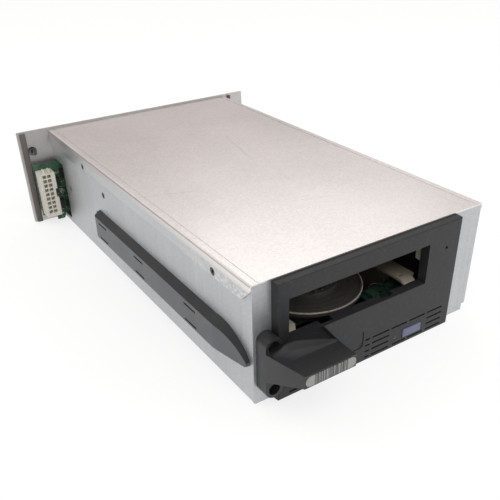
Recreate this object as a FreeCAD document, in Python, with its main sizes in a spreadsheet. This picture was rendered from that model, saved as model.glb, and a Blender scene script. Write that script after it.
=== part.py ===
"""Library data tape drive: a full-height tape drive in a sheet-metal tray.

Frame: millimetres, +Z up, +Y towards the rear plate, +X to the right seen from the front.
The origin is the middle of the tray's flat underside.
"""
import FreeCAD, Part
import math
import os

import Sketcher

from FreeCAD import Placement, Rotation, Vector

SHEET = "Sizes"

# Driving dimensions: name, millimetres (or a plain count or degrees), meaning
DIMENSIONS = [
    # tray, cover and rear plate
    ("tray_width", 185.0, "outside of the side walls"),
    ("tray_depth", 334.0, "front flanges to the rear plate"),
    ("sheet_wall", 1.2, "tray and cover sheet"),
    ("bend_radius", 1.6, "outside radius of the bends"),
    ("cover_top", 84.0, "top of the cover over the underside"),
    ("cover_drop", 13.2, "height of the cover's side flanges"),
    ("cover_corner", 9.2, "corner cut of the side flanges"),
    ("cover_rib_inset", 5.2, "embossed line in from the cover's edge"),
    ("cover_rib_width", 0.8, "embossed line"),
    ("cover_rib_depth", 0.35, "embossed line"),
    ("front_flange_left", 13.4, "width of the left front flange"),
    ("front_flange_right", 24.5, "width of the right front flange"),
    ("flange_notch", 3.0, "corner notch of the right front flange"),
    ("side_hole_radius", 2.6, "round holes in the side walls"),
    ("plate_left", 121.5, "rear plate, centre line to left edge"),
    ("plate_right", 114.0, "rear plate, centre line to right edge"),
    ("plate_height", 86.0, "rear plate"),
    ("plate_wall", 1.6, "rear plate sheet"),
    ("tab_width", 14.0, "rear tabs of the tray"),
    ("cutout_front", 22.5, "side cut-out, from the rear plate forwards"),
    ("cutout_low", 5.0, "side cut-out, lower edge"),
    ("cutout_high", 57.5, "side cut-out, upper edge"),
    # screws
    ("screw_radius", 1.5, "shank of the M3 screws"),
    ("screw_head_radius", 2.8, "head of the M3 screws"),
    ("screw_head_height", 1.8, "head of the M3 pan screws"),
    ("cover_screw_front", 40.5, "front cover screws from the front flanges"),
    ("cover_screw_rear", 251.5, "rear cover screws from the front flanges"),
    ("cover_screw_drop", 9.6, "cover screws below the cover's top"),
    # rails
    ("rail_depth", 6.1, "rail off the side wall"),
    ("rail_low", 19.5, "lower edge on the wall"),
    ("rail_high", 44.6, "upper edge on the wall"),
    ("rail_draft", 3.5, "how far the outer face is drawn in"),
    ("rail_rear", 228.0, "rear end from the front flanges"),
    ("rail_nose", 3.4, "nose tip from the front flanges"),
    ("rail_shoulder", 38.0, "start of the nose from the front flanges"),
    ("rail_slot_length", 15.5, "grip slots"),
    ("rail_slot_height", 1.3, "grip slots"),
    ("rail_slot_depth", 1.4, "grip slots"),
    ("rail_slot_inset", 2.2, "slots in from the edges of the outer face"),
    # drive unit and bezel
    ("drive_offset", -5.6, "centre line of the drive unit"),
    ("drive_depth", 236.0, "die-cast chassis"),
    ("chassis_width", 146.0, "die-cast chassis"),
    ("chassis_wall", 2.5, "chassis side walls"),
    ("chassis_floor", 3.0, "chassis floor"),
    ("chassis_gap", 2.0, "chassis floor over the tray, on four bosses"),
    ("chassis_drop", 4.0, "chassis walls below the cover's top"),
    ("lid_wall", 1.0, "drive lid"),
    ("bezel_width", 148.0, "back of the bezel"),
    ("bezel_low", 0.2, "lower edge"),
    ("bezel_gap", 0.1, "upper edge below the cover sheet"),
    ("bezel_depth", 6.0, "bezel in front of the flanges"),
    ("bezel_taper", 0.8, "front face in from the back on each side"),
    ("bezel_wall", 2.4, "front wall of the bezel"),
    ("window_left", -71.5, "cartridge window"),
    ("window_right", 39.7, "cartridge window"),
    ("window_low", 42.3, "cartridge window, top of the sill"),
    ("window_drop", 11.7, "cartridge window below the upper edge"),
    ("sill_reach", 1.0, "window lip behind the flanges"),
    ("sill_wall", 2.0, "window lip"),
    ("notch_width", 9.6, "notches in the sill"),
    ("notch_depth", 4.2, "notches in the sill"),
    ("vent_height", 1.3, "vent slots"),
    ("vent_pitch", 4.6, "vent rows"),
    ("vent_low", 3.0, "lowest vent row"),
    ("groove_width", 0.9, "panel groove"),
    ("groove_depth", 0.6, "panel groove"),
    ("reset_radius", 1.15, "release pin hole"),
    # eject button, light and their board
    ("button_left", 23.8, "eject button"),
    ("button_right", 40.3, "eject button"),
    ("button_low", 5.2, "eject button"),
    ("button_high", 11.5, "eject button"),
    ("button_proud", 0.7, "button in front of the bezel"),
    ("button_travel", 1.5, "eject button"),
    ("running_gap", 0.35, "gap round moving pieces"),
    ("light_radius", 1.2, "status light"),
    ("board_wall", 1.6, "printed circuit boards"),
    ("front_board_set", 8.0, "front board behind the flanges"),
    # target bracket
    ("bracket_left", 90.6, "outer side of the bracket from the centre line"),
    ("bracket_plate", 10.0, "depth of the mounting plate"),
    ("bracket_boss", 6.0, "outer radius of the screw bosses"),
    ("bracket_recess", 4.0, "radius of the screw recesses"),
    ("bracket_screw_low", 15.1, "lower screw over the underside"),
    ("bracket_screw_high", 45.7, "upper screw over the underside"),
    ("shelf_reach", 38.4, "front of the target shelf"),
    ("shelf_top", 42.9, "top of the target shelf"),
    ("shelf_left", 84.3, "left end of the target face"),
    ("shelf_right", 48.2, "right end of the target face"),
    ("target_height", 8.4, "target face"),
    ("bracket_wall", 2.4, "walls of the bracket"),
    ("web_low", 23.0, "underside of the bracket at its plate"),
    ("shelf_dip", 1.6, "hollow behind the curved wall"),
    ("shelf_flare", 2.4, "how far the shelf's right side runs out at the bezel"),
    ("leaf_high", 50.8, "crest of the curved wall at its left end"),
    ("label_length", 36.4, "target label"),
    ("label_height", 6.8, "target label"),
    ("label_wall", 0.3, "target label"),
    # cartridge bay and supply side
    ("supply_x", -15.9, "supply spindle"),
    ("supply_y", 52.0, "supply spindle behind the flanges"),
    ("supply_disc", 40.0, "radius of the drive disc"),
    ("supply_hub", 22.5, "radius of the raised hub"),
    ("disc_top", 35.0, "top of the drive disc at rest"),
    ("disc_wall", 3.0, "drive disc"),
    ("hub_rise", 3.0, "raised hub over the disc"),
    ("motor_radius", 30.0, "reel motors"),
    ("shaft_radius", 3.0, "reel shafts"),
    ("running_fit", 0.06, "radial clearance of shafts in bores"),
    ("lift_travel", 5.0, "rise of the supply spindle"),
    ("cam_travel", 20.0, "stroke of the lift cam"),
    ("lift_plate_low", 20.0, "underside of the lift plate at rest"),
    ("lift_plate_wall", 2.0, "lift plate"),
    ("guide_top", 42.0, "top of the cartridge guides"),
    ("guide_wall", 2.2, "cartridge guides"),
    ("guide_rear", 106.0, "rear end of the guides behind the flanges"),
    # take-up reel and tape path
    ("takeup_x", -5.6, "take-up spindle"),
    ("takeup_set", 58.0, "take-up spindle in front of the chassis rear"),
    ("reel_radius", 46.0, "take-up flanges"),
    ("reel_hub", 22.0, "take-up hub"),
    ("reel_low", 29.0, "underside of the lower flange"),
    ("reel_flange", 1.4, "take-up flanges"),
    ("tape_width", 12.7, "tape"),
    ("roller_radius", 4.6, "barrel of the guide rollers"),
    ("roller_flange", 6.0, "flanges of the guide rollers"),
    ("path_plate_low", 24.0, "underside of the path plate"),
    ("path_plate_wall", 3.0, "path plate"),
    ("head_travel", 8.0, "stroke of the head carriage"),
    ("guide_shaft_radius", 2.0, "head guide shafts"),
    # fan, interface board and converter
    ("fan_x", 45.0, "fan centre"),
    ("fan_rise", 1.6, "fan centre over half the height of the walls"),
    ("fan_size", 60.0, "fan frame"),
    ("fan_depth", 20.0, "fan frame"),
    ("fan_bore", 28.5, "air path radius"),
    ("fan_blade_tip", 27.0, "blades"),
    ("fan_hub", 13.0, "rotor hub"),
    ("converter_gap", 6.0, "converter behind the drive unit"),
    ("converter_spare", 12.0, "converter in front of the rear plate"),
    ("grille_pitch", 7.7, "rows of the fan grille"),
    ("grille_hole", 3.3, "corner radius of the grille's holes"),
    ("board_gap", 6.0, "interface board in front of the rear plate"),
    ("board_left", 114.4, "left edge of the interface board"),
    ("board_right", 6.0, "right edge of the interface board"),
    ("board_low", 6.0, "lower edge of the interface board"),
    ("board_high", 57.0, "upper edge of the interface board"),
    ("pin_pitch", 4.2, "contact pitch of the power connector"),
    ("pin_rows", 9, "rows of the power connector"),
    ("connector_x", -107.0, "middle of the power connector"),
    ("connector_z", 32.0, "middle of the power connector"),
    ("connector_depth", 12.8, "housing in front of the board"),
    ("connector_width", 13.6, "housing"),
    ("thumb_drop", 18.2, "captive screws below the plate's upper edge"),
    ("thumb_left", 110.6, "left captive screw from the centre line"),
    ("thumb_right", 105.6, "right captive screw from the centre line"),
    ("thumb_radius", 2.0, "shank of the captive screws"),
]


class Size:
    """A length known both as a number and as the sheet expression that gives it."""

    def __init__(self, number, text=None):
        self.number = float(number)
        self.text = text or f"{number:.6g}"

    def join(self, other, sign, number):
        return Size(number, f"({self.text} {sign} {other.text})")

    def __add__(self, other):
        other = as_size(other)
        return self.join(other, "+", self.number + other.number)

    def __sub__(self, other):
        other = as_size(other)
        return self.join(other, "-", self.number - other.number)

    def __mul__(self, other):
        other = as_size(other)
        return self.join(other, "*", self.number * other.number)

    def __truediv__(self, other):
        other = as_size(other)
        return self.join(other, "/", self.number / other.number)

    def __neg__(self):
        return Size(0) - self

    def __radd__(self, other):
        return as_size(other) + self

    def __rsub__(self, other):
        return as_size(other) - self

    def __rmul__(self, other):
        return as_size(other) * self


def as_size(thing):
    return thing if isinstance(thing, Size) else Size(thing)


class Names:
    """The sheet's aliases as attributes, each one a Size."""


doc = FreeCAD.newDocument("DataTapeDrive")
sheet = doc.addObject("Spreadsheet::Sheet", SHEET)
S = Names()
for row, (alias, number, meaning) in enumerate(DIMENSIONS, start=1):
    sheet.set(f"A{row}", meaning)
    sheet.set(f"B{row}", str(number))
    sheet.setAlias(f"B{row}", alias)
    setattr(S, alias, Size(number, f"{SHEET}.{alias}"))
doc.recompute()

PARTS = {}  # node name -> document object


# ---------------------------------------------------------------- modelling helpers
def keep(label, thing):
    """Give a finished sub-part its node name."""
    thing.Label = label
    PARTS[label] = thing
    return thing


def bind(thing, prop, size):
    thing.setExpression(prop, as_size(size).text)


def new_body(label, x=0, y=0, z=0, turn=None):
    """A body whose own origin stands at x, y, z."""
    body = doc.addObject("PartDesign::Body", label)
    if turn:
        body.Placement = Placement(Vector(), turn)
    for axis, size in (("x", x), ("y", y), ("z", z)):
        bind(body, f"Placement.Base.{axis}", size)
    return body


def new_sketch(body, plane, level, origin=(0, 0)):
    """A sketch on one of the body's origin planes, level measured along +X, +Y or +Z.
    Its own zero may stand at another place of that plane."""
    sketch = body.newObject("Sketcher::SketchObject", f"{body.Name}_sketch")
    support = [f for f in body.Origin.OriginFeatures if f.Role == f"{plane}_Plane"][0]
    sketch.AttachmentSupport = (support, [""])
    sketch.MapMode = "FlatFace"
    offset = -as_size(level) if plane == "XZ" else level
    for axis, size in zip("xyz", (*origin, offset)):
        bind(sketch, f"AttachmentOffset.Base.{axis}", size)
    return sketch


def held_at(geometry, end, across, up):
    """Constraints that hold a point at its distances from the sketch's origin."""
    return [(Sketcher.Constraint(kind, -1, 1, geometry, end, as_size(size).number), as_size(size))
            for kind, size in (("DistanceX", across), ("DistanceY", up))]


def constrain(sketch, wanted):
    """Add the constraints in one step, and tie their values to the sheet."""
    numbers = sketch.addConstraint([constraint for constraint, _ in wanted])
    for number, (_, size) in zip(numbers, wanted):
        if size is not None and SHEET in size.text:
            sketch.setExpression(f"Constraints[{number}]", size.text)


def at(across, up):
    return Vector(as_size(across).number, as_size(up).number, 0)


def draw_outline(sketch, points):
    """A closed outline of straight edges through the points. ("arc", across, up) between two
    corners makes the edge between them an arc through that point."""
    corners = [p for p in points if p[0] != "arc"]
    middles = {}
    for place, point in enumerate(points):
        if point[0] == "arc":
            middles[sum(p[0] != "arc" for p in points[:place]) - 1] = point[1:]
    edges = []
    for i, corner in enumerate(corners):
        start, end = at(*corner), at(*corners[(i + 1) % len(corners)])
        if i in middles:
            edge = sketch.addGeometry(Part.Arc(start, at(*middles[i]), end), False)
            forward = sketch.Geometry[edge].StartPoint.isEqual(start, 1e-4)
            edges.append((edge, 1, 2) if forward else (edge, 2, 1))
        else:
            edges.append((sketch.addGeometry(Part.LineSegment(start, end), False), 1, 2))
    wanted = []
    for i, (edge, first, last) in enumerate(edges):
        following = edges[(i + 1) % len(edges)]
        wanted.append((Sketcher.Constraint("Coincident", edge, last, following[0], following[1]), None))
        wanted += held_at(edge, first, *corners[i])
    for i in middles:
        arc = sketch.Geometry[edges[i][0]]
        chord = arc.EndPoint - arc.StartPoint
        flat = abs(chord.x) > abs(chord.y)
        along = arc.Center.y if flat else arc.Center.x
        kind = "DistanceY" if flat else "DistanceX"
        wanted.append((Sketcher.Constraint(kind, -1, 1, edges[i][0], 3, along), None))
    constrain(sketch, wanted)


def outline(*points):
    return lambda sketch: draw_outline(sketch, points)


def rect(left, right, low, high):
    return outline((left, low), (right, low), (right, high), (left, high))


def disc(across, up, radius):
    def draw(sketch):
        size = as_size(radius)
        ring = sketch.addGeometry(Part.Circle(at(across, up), Vector(0, 0, 1), size.number), False)
        constrain(sketch, held_at(ring, 3, across, up)
                  + [(Sketcher.Constraint("Radius", ring, size.number), size)])
    return draw


def feature(body, kind, sketch):
    made = body.newObject(f"PartDesign::{kind}", f"{body.Name}_{kind.lower()}")
    made.Profile = (sketch, [""])
    sketch.Visibility = False
    return made


def pad(body, plane, low, high, *shapes):
    """Add the shapes between two levels along the plane's axis."""
    sketch = new_sketch(body, plane, high if plane == "XZ" else low)
    for draw in shapes:
        draw(sketch)
    made = feature(body, "Pad", sketch)
    bind(made, "Length", as_size(high) - low)
    return made


def pocket(body, plane, low, high, *shapes, origin=(0, 0)):
    """Take the shapes away between two levels along the plane's axis."""
    sketch = new_sketch(body, plane, low if plane == "XZ" else high, origin)
    for draw in shapes:
        draw(sketch)
    made = feature(body, "Pocket", sketch)
    bind(made, "Length", as_size(high) - low)
    return made


def revolve(body, *shapes, cut=False):
    """Turn a half section, drawn as radius and height, about the body's own Z axis."""
    sketch = new_sketch(body, "XZ", 0)
    for draw in shapes:
        draw(sketch)
    made = feature(body, "Groove" if cut else "Revolution", sketch)
    made.ReferenceAxis = (sketch, ["V_Axis"])
    made.Angle = 360
    return made


def loft(body, plane, *sections, origin=(0, 0)):
    """Run a skin through outlines at several levels, each given as (level, outline)."""
    sketches = []
    for level, draw in sections:
        sketch = new_sketch(body, plane, level, origin)
        draw(sketch)
        sketches.append(sketch)
    made = feature(body, "AdditiveLoft", sketches[0])
    made.Sections = [(s, [""]) for s in sketches[1:]]
    made.Ruled = True
    return made


def dress(body, kind, base, chosen, size):
    """Fillet or chamfer the base feature's edges that the test picks out."""
    doc.recompute()
    names = [f"Edge{i}" for i, edge in enumerate(base.Shape.Edges, start=1) if chosen(edge)]
    made = body.newObject(f"PartDesign::{kind}", f"{body.Name}_{kind.lower()}")
    made.Base = (base, names)
    bind(made, "Radius" if kind == "Fillet" else "Size", size)
    return made


def runs_along(edge, axis, *, near=None):
    """Is this a straight edge along the axis, and close to the named coordinates?"""
    if edge.Curve.TypeId != "Part::GeomLine":
        return False
    direction = edge.Vertexes[-1].Point - edge.Vertexes[0].Point
    if abs(getattr(direction.normalize(), axis)) < 0.999:
        return False
    middle = edge.CenterOfMass
    return all(abs(getattr(middle, k) - as_size(v).number) < 0.05 for k, v in (near or {}).items())


def group(label, pieces):
    """Several alike solids in one sub-part."""
    made = doc.addObject("Part::Compound", label)
    made.Links = pieces
    return keep(label, made)


TO_REAR = Rotation(Vector(1, 0, 0), -90)    # own +Z points to +Y
TO_FRONT = Rotation(Vector(1, 0, 0), 90)    # own +Z points to -Y
TO_RIGHT = Rotation(Vector(0, 1, 0), 90)    # own +Z points to +X
TO_LEFT = Rotation(Vector(0, 1, 0), -90)    # own +Z points to -X
UPRIGHT = Rotation()
DOWN = Rotation(Vector(1, 0, 0), 180)

# ---------------------------------------------------------------- places used by many parts
FRONT = -S.tray_depth / 2                   # plane of the front flanges
REAR = S.tray_depth / 2                     # front face of the rear plate
SIDE = S.tray_width / 2
WALL_TOP = S.cover_top - S.sheet_wall       # top edge of the tray walls
COVER_SIDE = SIDE + S.sheet_wall
COVER_SCREW_Z = S.cover_top - S.cover_screw_drop
CHASSIS_TOP = S.cover_top - S.chassis_drop
BEZEL_HIGH = WALL_TOP - S.bezel_gap
WINDOW_HIGH = BEZEL_HIGH - S.window_drop
THUMB_Z = S.plate_height - S.thumb_drop
FAN_Z = WALL_TOP / 2 + S.fan_rise
DRIVE_LEFT = S.drive_offset - S.chassis_width / 2
DRIVE_RIGHT = S.drive_offset + S.chassis_width / 2
DRIVE_REAR = FRONT + S.drive_depth
FLOOR_LOW = S.sheet_wall + S.chassis_gap
FLOOR_TOP = FLOOR_LOW + S.chassis_floor
BEZEL_FACE = FRONT - S.bezel_depth
RAIL_SCREWS = [FRONT + 50, FRONT + 125, FRONT + 200]
RAIL_SCREW_Z = (S.rail_low + S.rail_high) / 2
CHASSIS_SCREWS = [(S.drive_offset + across * 58, y)
                  for across in (-1, 1) for y in (FRONT + 30, DRIVE_REAR - 30)]
PLATE_SCREWS = [(-SIDE + 7, WALL_TOP - 11.8), (SIDE - 7, WALL_TOP - 11.8), (SIDE - 7, 22), (-40, 6)]
FAN_SCREW_PITCH = S.fan_size - 10


def ordered(first, second):
    return (first, second) if as_size(first).number < as_size(second).number else (second, first)


# ---------------------------------------------------------------- screws
def pan_screw(name, x, y, z, turn, reach, socket=True):
    """Cylinder-head screw: the seat of its head at x, y, z, its shank reach long along own -Z."""
    body = new_body(name, x, y, z, turn)
    shank, head, rise = S.screw_radius, S.screw_head_radius, S.screw_head_height
    revolve(body, outline((0, -as_size(reach)), (shank, -as_size(reach)), (shank, 0), (head, 0),
                          (head, rise - 0.4), (head - 0.4, rise), (0, rise)))
    if socket:
        pocket(body, "XY", rise - 1.0, rise + 0.1, socket_outline(1.25))
    return body


def flat_screw(name, x, y, z, turn, sink, reach):
    """Countersunk screw: its flat head at x, y, z, the cone sink deep, reach long in all."""
    body = new_body(name, x, y, z, turn)
    shank = S.screw_radius
    revolve(body, outline((0, -as_size(reach)), (shank, -as_size(reach)), (shank, -as_size(sink)),
                          (shank + sink, 0), (0, 0)))
    return body


def socket_outline(radius):
    """Hexagon of the given corner radius."""
    return outline(*[(radius * math.cos(math.radians(60 * i)), radius * math.sin(math.radians(60 * i)))
                     for i in range(6)])


# ---------------------------------------------------------------- tray, cover and rear plate
def build_tray():
    tray = new_body("tray_base")
    wall = S.sheet_wall
    channel = pad(tray, "XZ", FRONT, REAR, outline(
        (-SIDE, 0), (SIDE, 0), (SIDE, WALL_TOP), (SIDE - wall, WALL_TOP), (SIDE - wall, wall),
        (wall - SIDE, wall), (wall - SIDE, WALL_TOP), (-SIDE, WALL_TOP)))
    dress(tray, "Fillet", channel,
          lambda e: runs_along(e, "y", near={"z": 0}), S.bend_radius)
    right_in = SIDE - S.front_flange_right
    pad(tray, "XZ", FRONT, FRONT + wall, rect(-SIDE, S.front_flange_left - SIDE, wall / 2, WALL_TOP))
    pad(tray, "XZ", FRONT, FRONT + wall, rect(right_in, SIDE, wall / 2, WALL_TOP))
    low = S.cutout_high + 3
    pad(tray, "XZ", REAR - wall, REAR,
        rect(-SIDE, S.tab_width - SIDE, low, WALL_TOP), rect(SIDE - S.tab_width, SIDE, 12, WALL_TOP),
        rect(-60, 60, wall / 2, 12))
    pocket(tray, "XZ", FRONT - 1, FRONT + wall + 1,
           rect(SIDE - S.flange_notch, SIDE + 1, -1, S.flange_notch + 2))
    pocket(tray, "YZ", -SIDE - 1, wall - SIDE + 1,
           rect(REAR - S.cutout_front, REAR + 1, S.cutout_low, S.cutout_high))
    pocket(tray, "YZ", -SIDE - 1, SIDE + 1,
           disc(REAR - 34.5, 38.5, S.side_hole_radius), disc(FRONT + 214.5, 61.5, S.side_hole_radius),
           disc(FRONT + 235.5, 38.8, S.side_hole_radius - 0.6),
           *[disc(y, RAIL_SCREW_Z, S.screw_radius + 0.2) for y in RAIL_SCREWS])
    pocket(tray, "YZ", -SIDE - 1, SIDE + 1,
           *[disc(FRONT + y, COVER_SCREW_Z, S.screw_radius)
             for y in (S.cover_screw_front, S.cover_screw_rear)])
    pocket(tray, "XZ", REAR - wall - 1, REAR + 1, *[disc(x, z, S.screw_radius) for x, z in PLATE_SCREWS])
    pocket(tray, "XZ", FRONT - 1, FRONT + wall + 1,
           *[disc(-S.bracket_left + S.bracket_boss, z, S.screw_radius)
             for z in (S.bracket_screw_low, S.bracket_screw_high)])
    for x, y in CHASSIS_SCREWS:
        countersink(tray, x, y, wall)
    return keep("tray_base", tray)


def countersink(body, x, y, depth):
    """A conical seat that narrows upwards from the underside to a screw shank."""
    sketch = new_sketch(body, "XZ", y)
    shank = S.screw_radius
    outline((x, 0), (x + shank + depth, 0), (x + shank, depth), (x, depth))(sketch)
    axis = sketch.addGeometry(Part.LineSegment(at(x, -1), at(x, 5)), True)
    constrain(sketch, held_at(axis, 1, x, -1) + held_at(axis, 2, x, 5))
    made = feature(body, "Groove", sketch)
    made.ReferenceAxis = (sketch, ["Axis0"])
    made.Angle = 360


def build_cover():
    cover = new_body("top_cover")
    wall, low = S.sheet_wall, S.cover_top - S.cover_drop
    sheet_pad = pad(cover, "XZ", FRONT, REAR, outline(
        (-COVER_SIDE, low), (wall - COVER_SIDE, low), (wall - COVER_SIDE, WALL_TOP),
        (COVER_SIDE - wall, WALL_TOP), (COVER_SIDE - wall, low), (COVER_SIDE, low),
        (COVER_SIDE, S.cover_top), (-COVER_SIDE, S.cover_top)))
    dress(cover, "Fillet", sheet_pad,
          lambda e: runs_along(e, "y", near={"z": S.cover_top}), S.bend_radius)
    corner = S.cover_corner
    pocket(cover, "YZ", -COVER_SIDE - 1, COVER_SIDE + 1,
           outline((FRONT - 1, low - 1), (FRONT + corner, low - 1), (FRONT + corner, low),
                   (FRONT, low + corner), (FRONT - 1, low + corner)),
           outline((REAR + 1, low - 1), (REAR - corner, low - 1), (REAR - corner, low),
                   (REAR, low + corner), (REAR + 1, low + corner)))
    pocket(cover, "YZ", -COVER_SIDE - 1, COVER_SIDE + 1,
           *[disc(FRONT + y, COVER_SCREW_Z, S.screw_radius + wall)
             for y in (S.cover_screw_front, S.cover_screw_rear)])
    rib = COVER_SIDE - S.cover_rib_inset
    pocket(cover, "XZ", FRONT - 1, REAR + 1,
           *[rect(*ordered(side * rib, side * (rib - S.cover_rib_width)),
                  S.cover_top - S.cover_rib_depth, S.cover_top + 1) for side in (-1, 1)])
    keep("top_cover", cover)
    screws = []
    for side, turn in ((-1, TO_LEFT), (1, TO_RIGHT)):
        for y in (S.cover_screw_front, S.cover_screw_rear):
            body = new_body(f"cover_screw_{len(screws)}", side * COVER_SIDE, FRONT + y,
                            COVER_SCREW_Z, turn)
            head = S.screw_radius + wall
            revolve(body, outline((0, -5.0), (S.screw_radius, -5.0), (S.screw_radius, -wall),
                                  (head, -wall), (head, -0.5), (head - 0.3, -0.2), (0, -0.2)))
            pocket(body, "XY", -1.1, 0.5, socket_outline(1.2))
            screws.append(body)
    group("cover_screws", screws)


build_tray()
build_cover()


# ---------------------------------------------------------------- rails
def rail_outline(inset):
    """Side view of a rail: square rear end, long nose drawn to a rounded tip."""
    low, high = S.rail_low + inset, S.rail_high - inset
    return outline(
        (FRONT + S.rail_rear - inset / 4, low), (FRONT + S.rail_rear - inset / 4, high),
        (FRONT + S.rail_shoulder + 3 - inset / 3, high),
        ("arc", FRONT + 15.5 - inset / 5, high - 4.2), (FRONT + S.rail_nose + 1, low + 12.0 - inset),
        ("arc", FRONT + S.rail_nose, low + 9.0 - inset / 3), (FRONT + S.rail_nose + 2.5, low + 6.2 - inset / 3),
        (FRONT + S.rail_shoulder, low))


def build_rails():
    """The right rail is the left one in the mirror."""
    rail = new_body("left_rail")
    outer = -SIDE - S.rail_depth
    bar = loft(rail, "YZ", (-SIDE, rail_outline(0)), (outer, rail_outline(S.rail_draft)))
    dress(rail, "Fillet", bar, lambda e: abs(e.CenterOfMass.y - (FRONT + S.rail_rear).number) < 1.5
          and e.BoundBox.YLength < 1.5 and e.BoundBox.ZLength > 10
          and e.CenterOfMass.x < outer.number + 0.1, 2.5)
    pocket(rail, "XY", S.rail_low - 1, S.rail_high + 1, outline(
        (outer, FRONT + S.rail_shoulder - 3), (outer + 3.4, FRONT - 2), (outer - 2, FRONT - 2),
        (outer - 2, FRONT + S.rail_shoulder - 3)))
    half, tall, deep = S.rail_slot_length / 2, S.rail_slot_height / 2, S.rail_slot_depth
    low, high = S.rail_low + S.rail_draft + S.rail_slot_inset, S.rail_high - S.rail_draft - S.rail_slot_inset - 1.4
    pocket(rail, "YZ", outer - 1, outer + deep,
           *[rect(FRONT + y - half, FRONT + y + half, z - tall, z + tall)
             for y in (65.5, 143.0, 210.5) for z in (low, high)])
    pocket(rail, "YZ", -SIDE - 4, 1 - SIDE, *[disc(y, RAIL_SCREW_Z, S.screw_radius) for y in RAIL_SCREWS])
    keep("left_rail", rail)
    other = doc.addObject("Part::Mirroring", "right_rail")
    other.Source = rail
    other.Normal = Vector(1, 0, 0)
    keep("right_rail", other)


build_rails()
group("rail_screws", [
    pan_screw(f"rail_screw_{i}_{'l' if side < 0 else 'r'}", side * (SIDE - S.sheet_wall), y, RAIL_SCREW_Z,
              TO_RIGHT if side < 0 else TO_LEFT, S.sheet_wall + 3.6, socket=False)
    for side in (-1, 1) for i, y in enumerate(RAIL_SCREWS)])


# ---------------------------------------------------------------- rear plate and what it carries
PORT_HEIGHTS = (23.0, 43.0)
PORT_X = -30.0


def port_outline(z, spare):
    """D-shaped shell of a data port, wider at its top."""
    return outline((PORT_X - 19 - spare, z - 4 - spare), (PORT_X + 19 + spare, z - 4 - spare),
                   (PORT_X + 21 + spare, z + 4 + spare), (PORT_X - 21 - spare, z + 4 + spare))


def hexagon(x, z):
    """One hole of the fan grille."""
    return outline(*[(x + S.grille_hole * math.cos(math.radians(60 * i)),
                      z + S.grille_hole * math.sin(math.radians(60 * i))) for i in range(6)])


def thumb_places():
    return (("left", -S.thumb_left), ("right", S.thumb_right))


def build_rear_plate():
    plate = new_body("rear_plate")
    back = REAR + S.plate_wall
    sheet_pad = pad(plate, "XZ", REAR, back, rect(-S.plate_left, S.plate_right, 0, S.plate_height))
    dress(plate, "Fillet", sheet_pad, lambda e: runs_along(e, "y"), 1.0)
    pocket(plate, "XZ", REAR - 1, back + 1, *[port_outline(z, 0.3) for z in PORT_HEIGHTS])
    pocket(plate, "XZ", REAR - 1, back + 1,
           *[disc(x, THUMB_Z, 4.0) for _, x in thumb_places()],
           *[disc(x, z, S.screw_radius + 0.2) for x, z in PLATE_SCREWS],
           *[disc(x, z, S.screw_radius) for x, z in BOARD_SCREWS],
           *[disc(x, z, S.screw_radius + 0.2) for x, z in fan_corners()])
    pocket(plate, "XZ", REAR - 1, back + 1, hexagon(S.fan_x, FAN_Z))
    sector = pocket(plate, "XZ", REAR - 1, back + 1, *[
        hexagon(S.grille_pitch * ring * math.cos(math.pi * i / (3 * ring)),
                S.grille_pitch * ring * math.sin(math.pi * i / (3 * ring)))
        for ring in (1, 2, 3) for i in range(ring)], origin=(S.fan_x, FAN_Z))
    grille = plate.newObject("PartDesign::PolarPattern", "fan_grille")
    grille.Originals = [sector]
    grille.Axis = (sector.Profile[0], ["N_Axis"])
    grille.Angle = 360
    grille.Occurrences = 6
    plate.Tip = grille
    keep("rear_plate", plate)
    group("rear_plate_screws", [
        pan_screw(f"plate_screw_{i}", x, back, z, TO_REAR, S.plate_wall + S.sheet_wall + 2)
        for i, (x, z) in enumerate(PLATE_SCREWS)])
    for label, low, high in (("left_gasket", -S.plate_left + 2.3, -S.plate_left + 7.1),
                             ("right_gasket", COVER_SIDE + 2.7, COVER_SIDE + 5.7)):
        strip = new_body(label)
        foam = pad(strip, "XZ", REAR - 2.6, REAR, rect(low, high, 0.6, S.plate_height - 1.6))
        dress(strip, "Fillet", foam, lambda e: runs_along(e, "z", near={"y": REAR - 2.6}), 1.0)
        keep(label, strip)


def fan_corners():
    half = FAN_SCREW_PITCH / 2
    return [(S.fan_x + i * half, FAN_Z + j * half) for i in (-1, 1) for j in (-1, 1)]


def build_thumbscrews():
    """Captive screws that turn in ferrules pressed into the plate's ears."""
    shank, fit, wall = S.thumb_radius, S.running_fit, S.plate_wall
    ferrules = []
    for name, x in thumb_places():
        ferrule = new_body(f"ferrule_{name}", x, REAR + wall, THUMB_Z, TO_REAR)
        revolve(ferrule, outline((shank + fit, -wall), (4.0, -wall), (4.0, 0), (5.2, 0), (5.2, 0.9),
                                 (4.9, 1.2), (shank + fit, 1.2)))
        ferrules.append(ferrule)
        screw = new_body(f"{name}_thumbscrew", x, REAR + wall, THUMB_Z, TO_REAR)
        head = revolve(screw, outline(
            (0, -9.4), (1.4, -9.4), (shank, -8.6), (shank, -wall - 1.4), (3.2, -wall - 1.4),
            (3.2, -wall - 0.6), (shank, -wall - 0.6), (shank, 1.6), (6.0, 1.6), (6.5, 2.1), (6.5, 11.0),
            (5.7, 11.8), (0, 11.8)))
        pocket(screw, "XY", 10.4, 12.0, rect(-7, 7, -0.6, 0.6))
        flute = pocket(screw, "XY", 1.5, 12.0, outline((5.9, -0.3), (6.8, -1.1), (6.8, 1.1), (5.9, 0.3)))
        ring = screw.newObject("PartDesign::PolarPattern", f"{name}_knurl")
        ring.Originals = [flute]
        ring.Axis = (flute.Profile[0], ["N_Axis"])
        ring.Angle = 360
        ring.Occurrences = 12
        screw.Tip = ring
        keep(f"{name}_thumbscrew", screw)
    group("screw_ferrules", ferrules)


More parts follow.
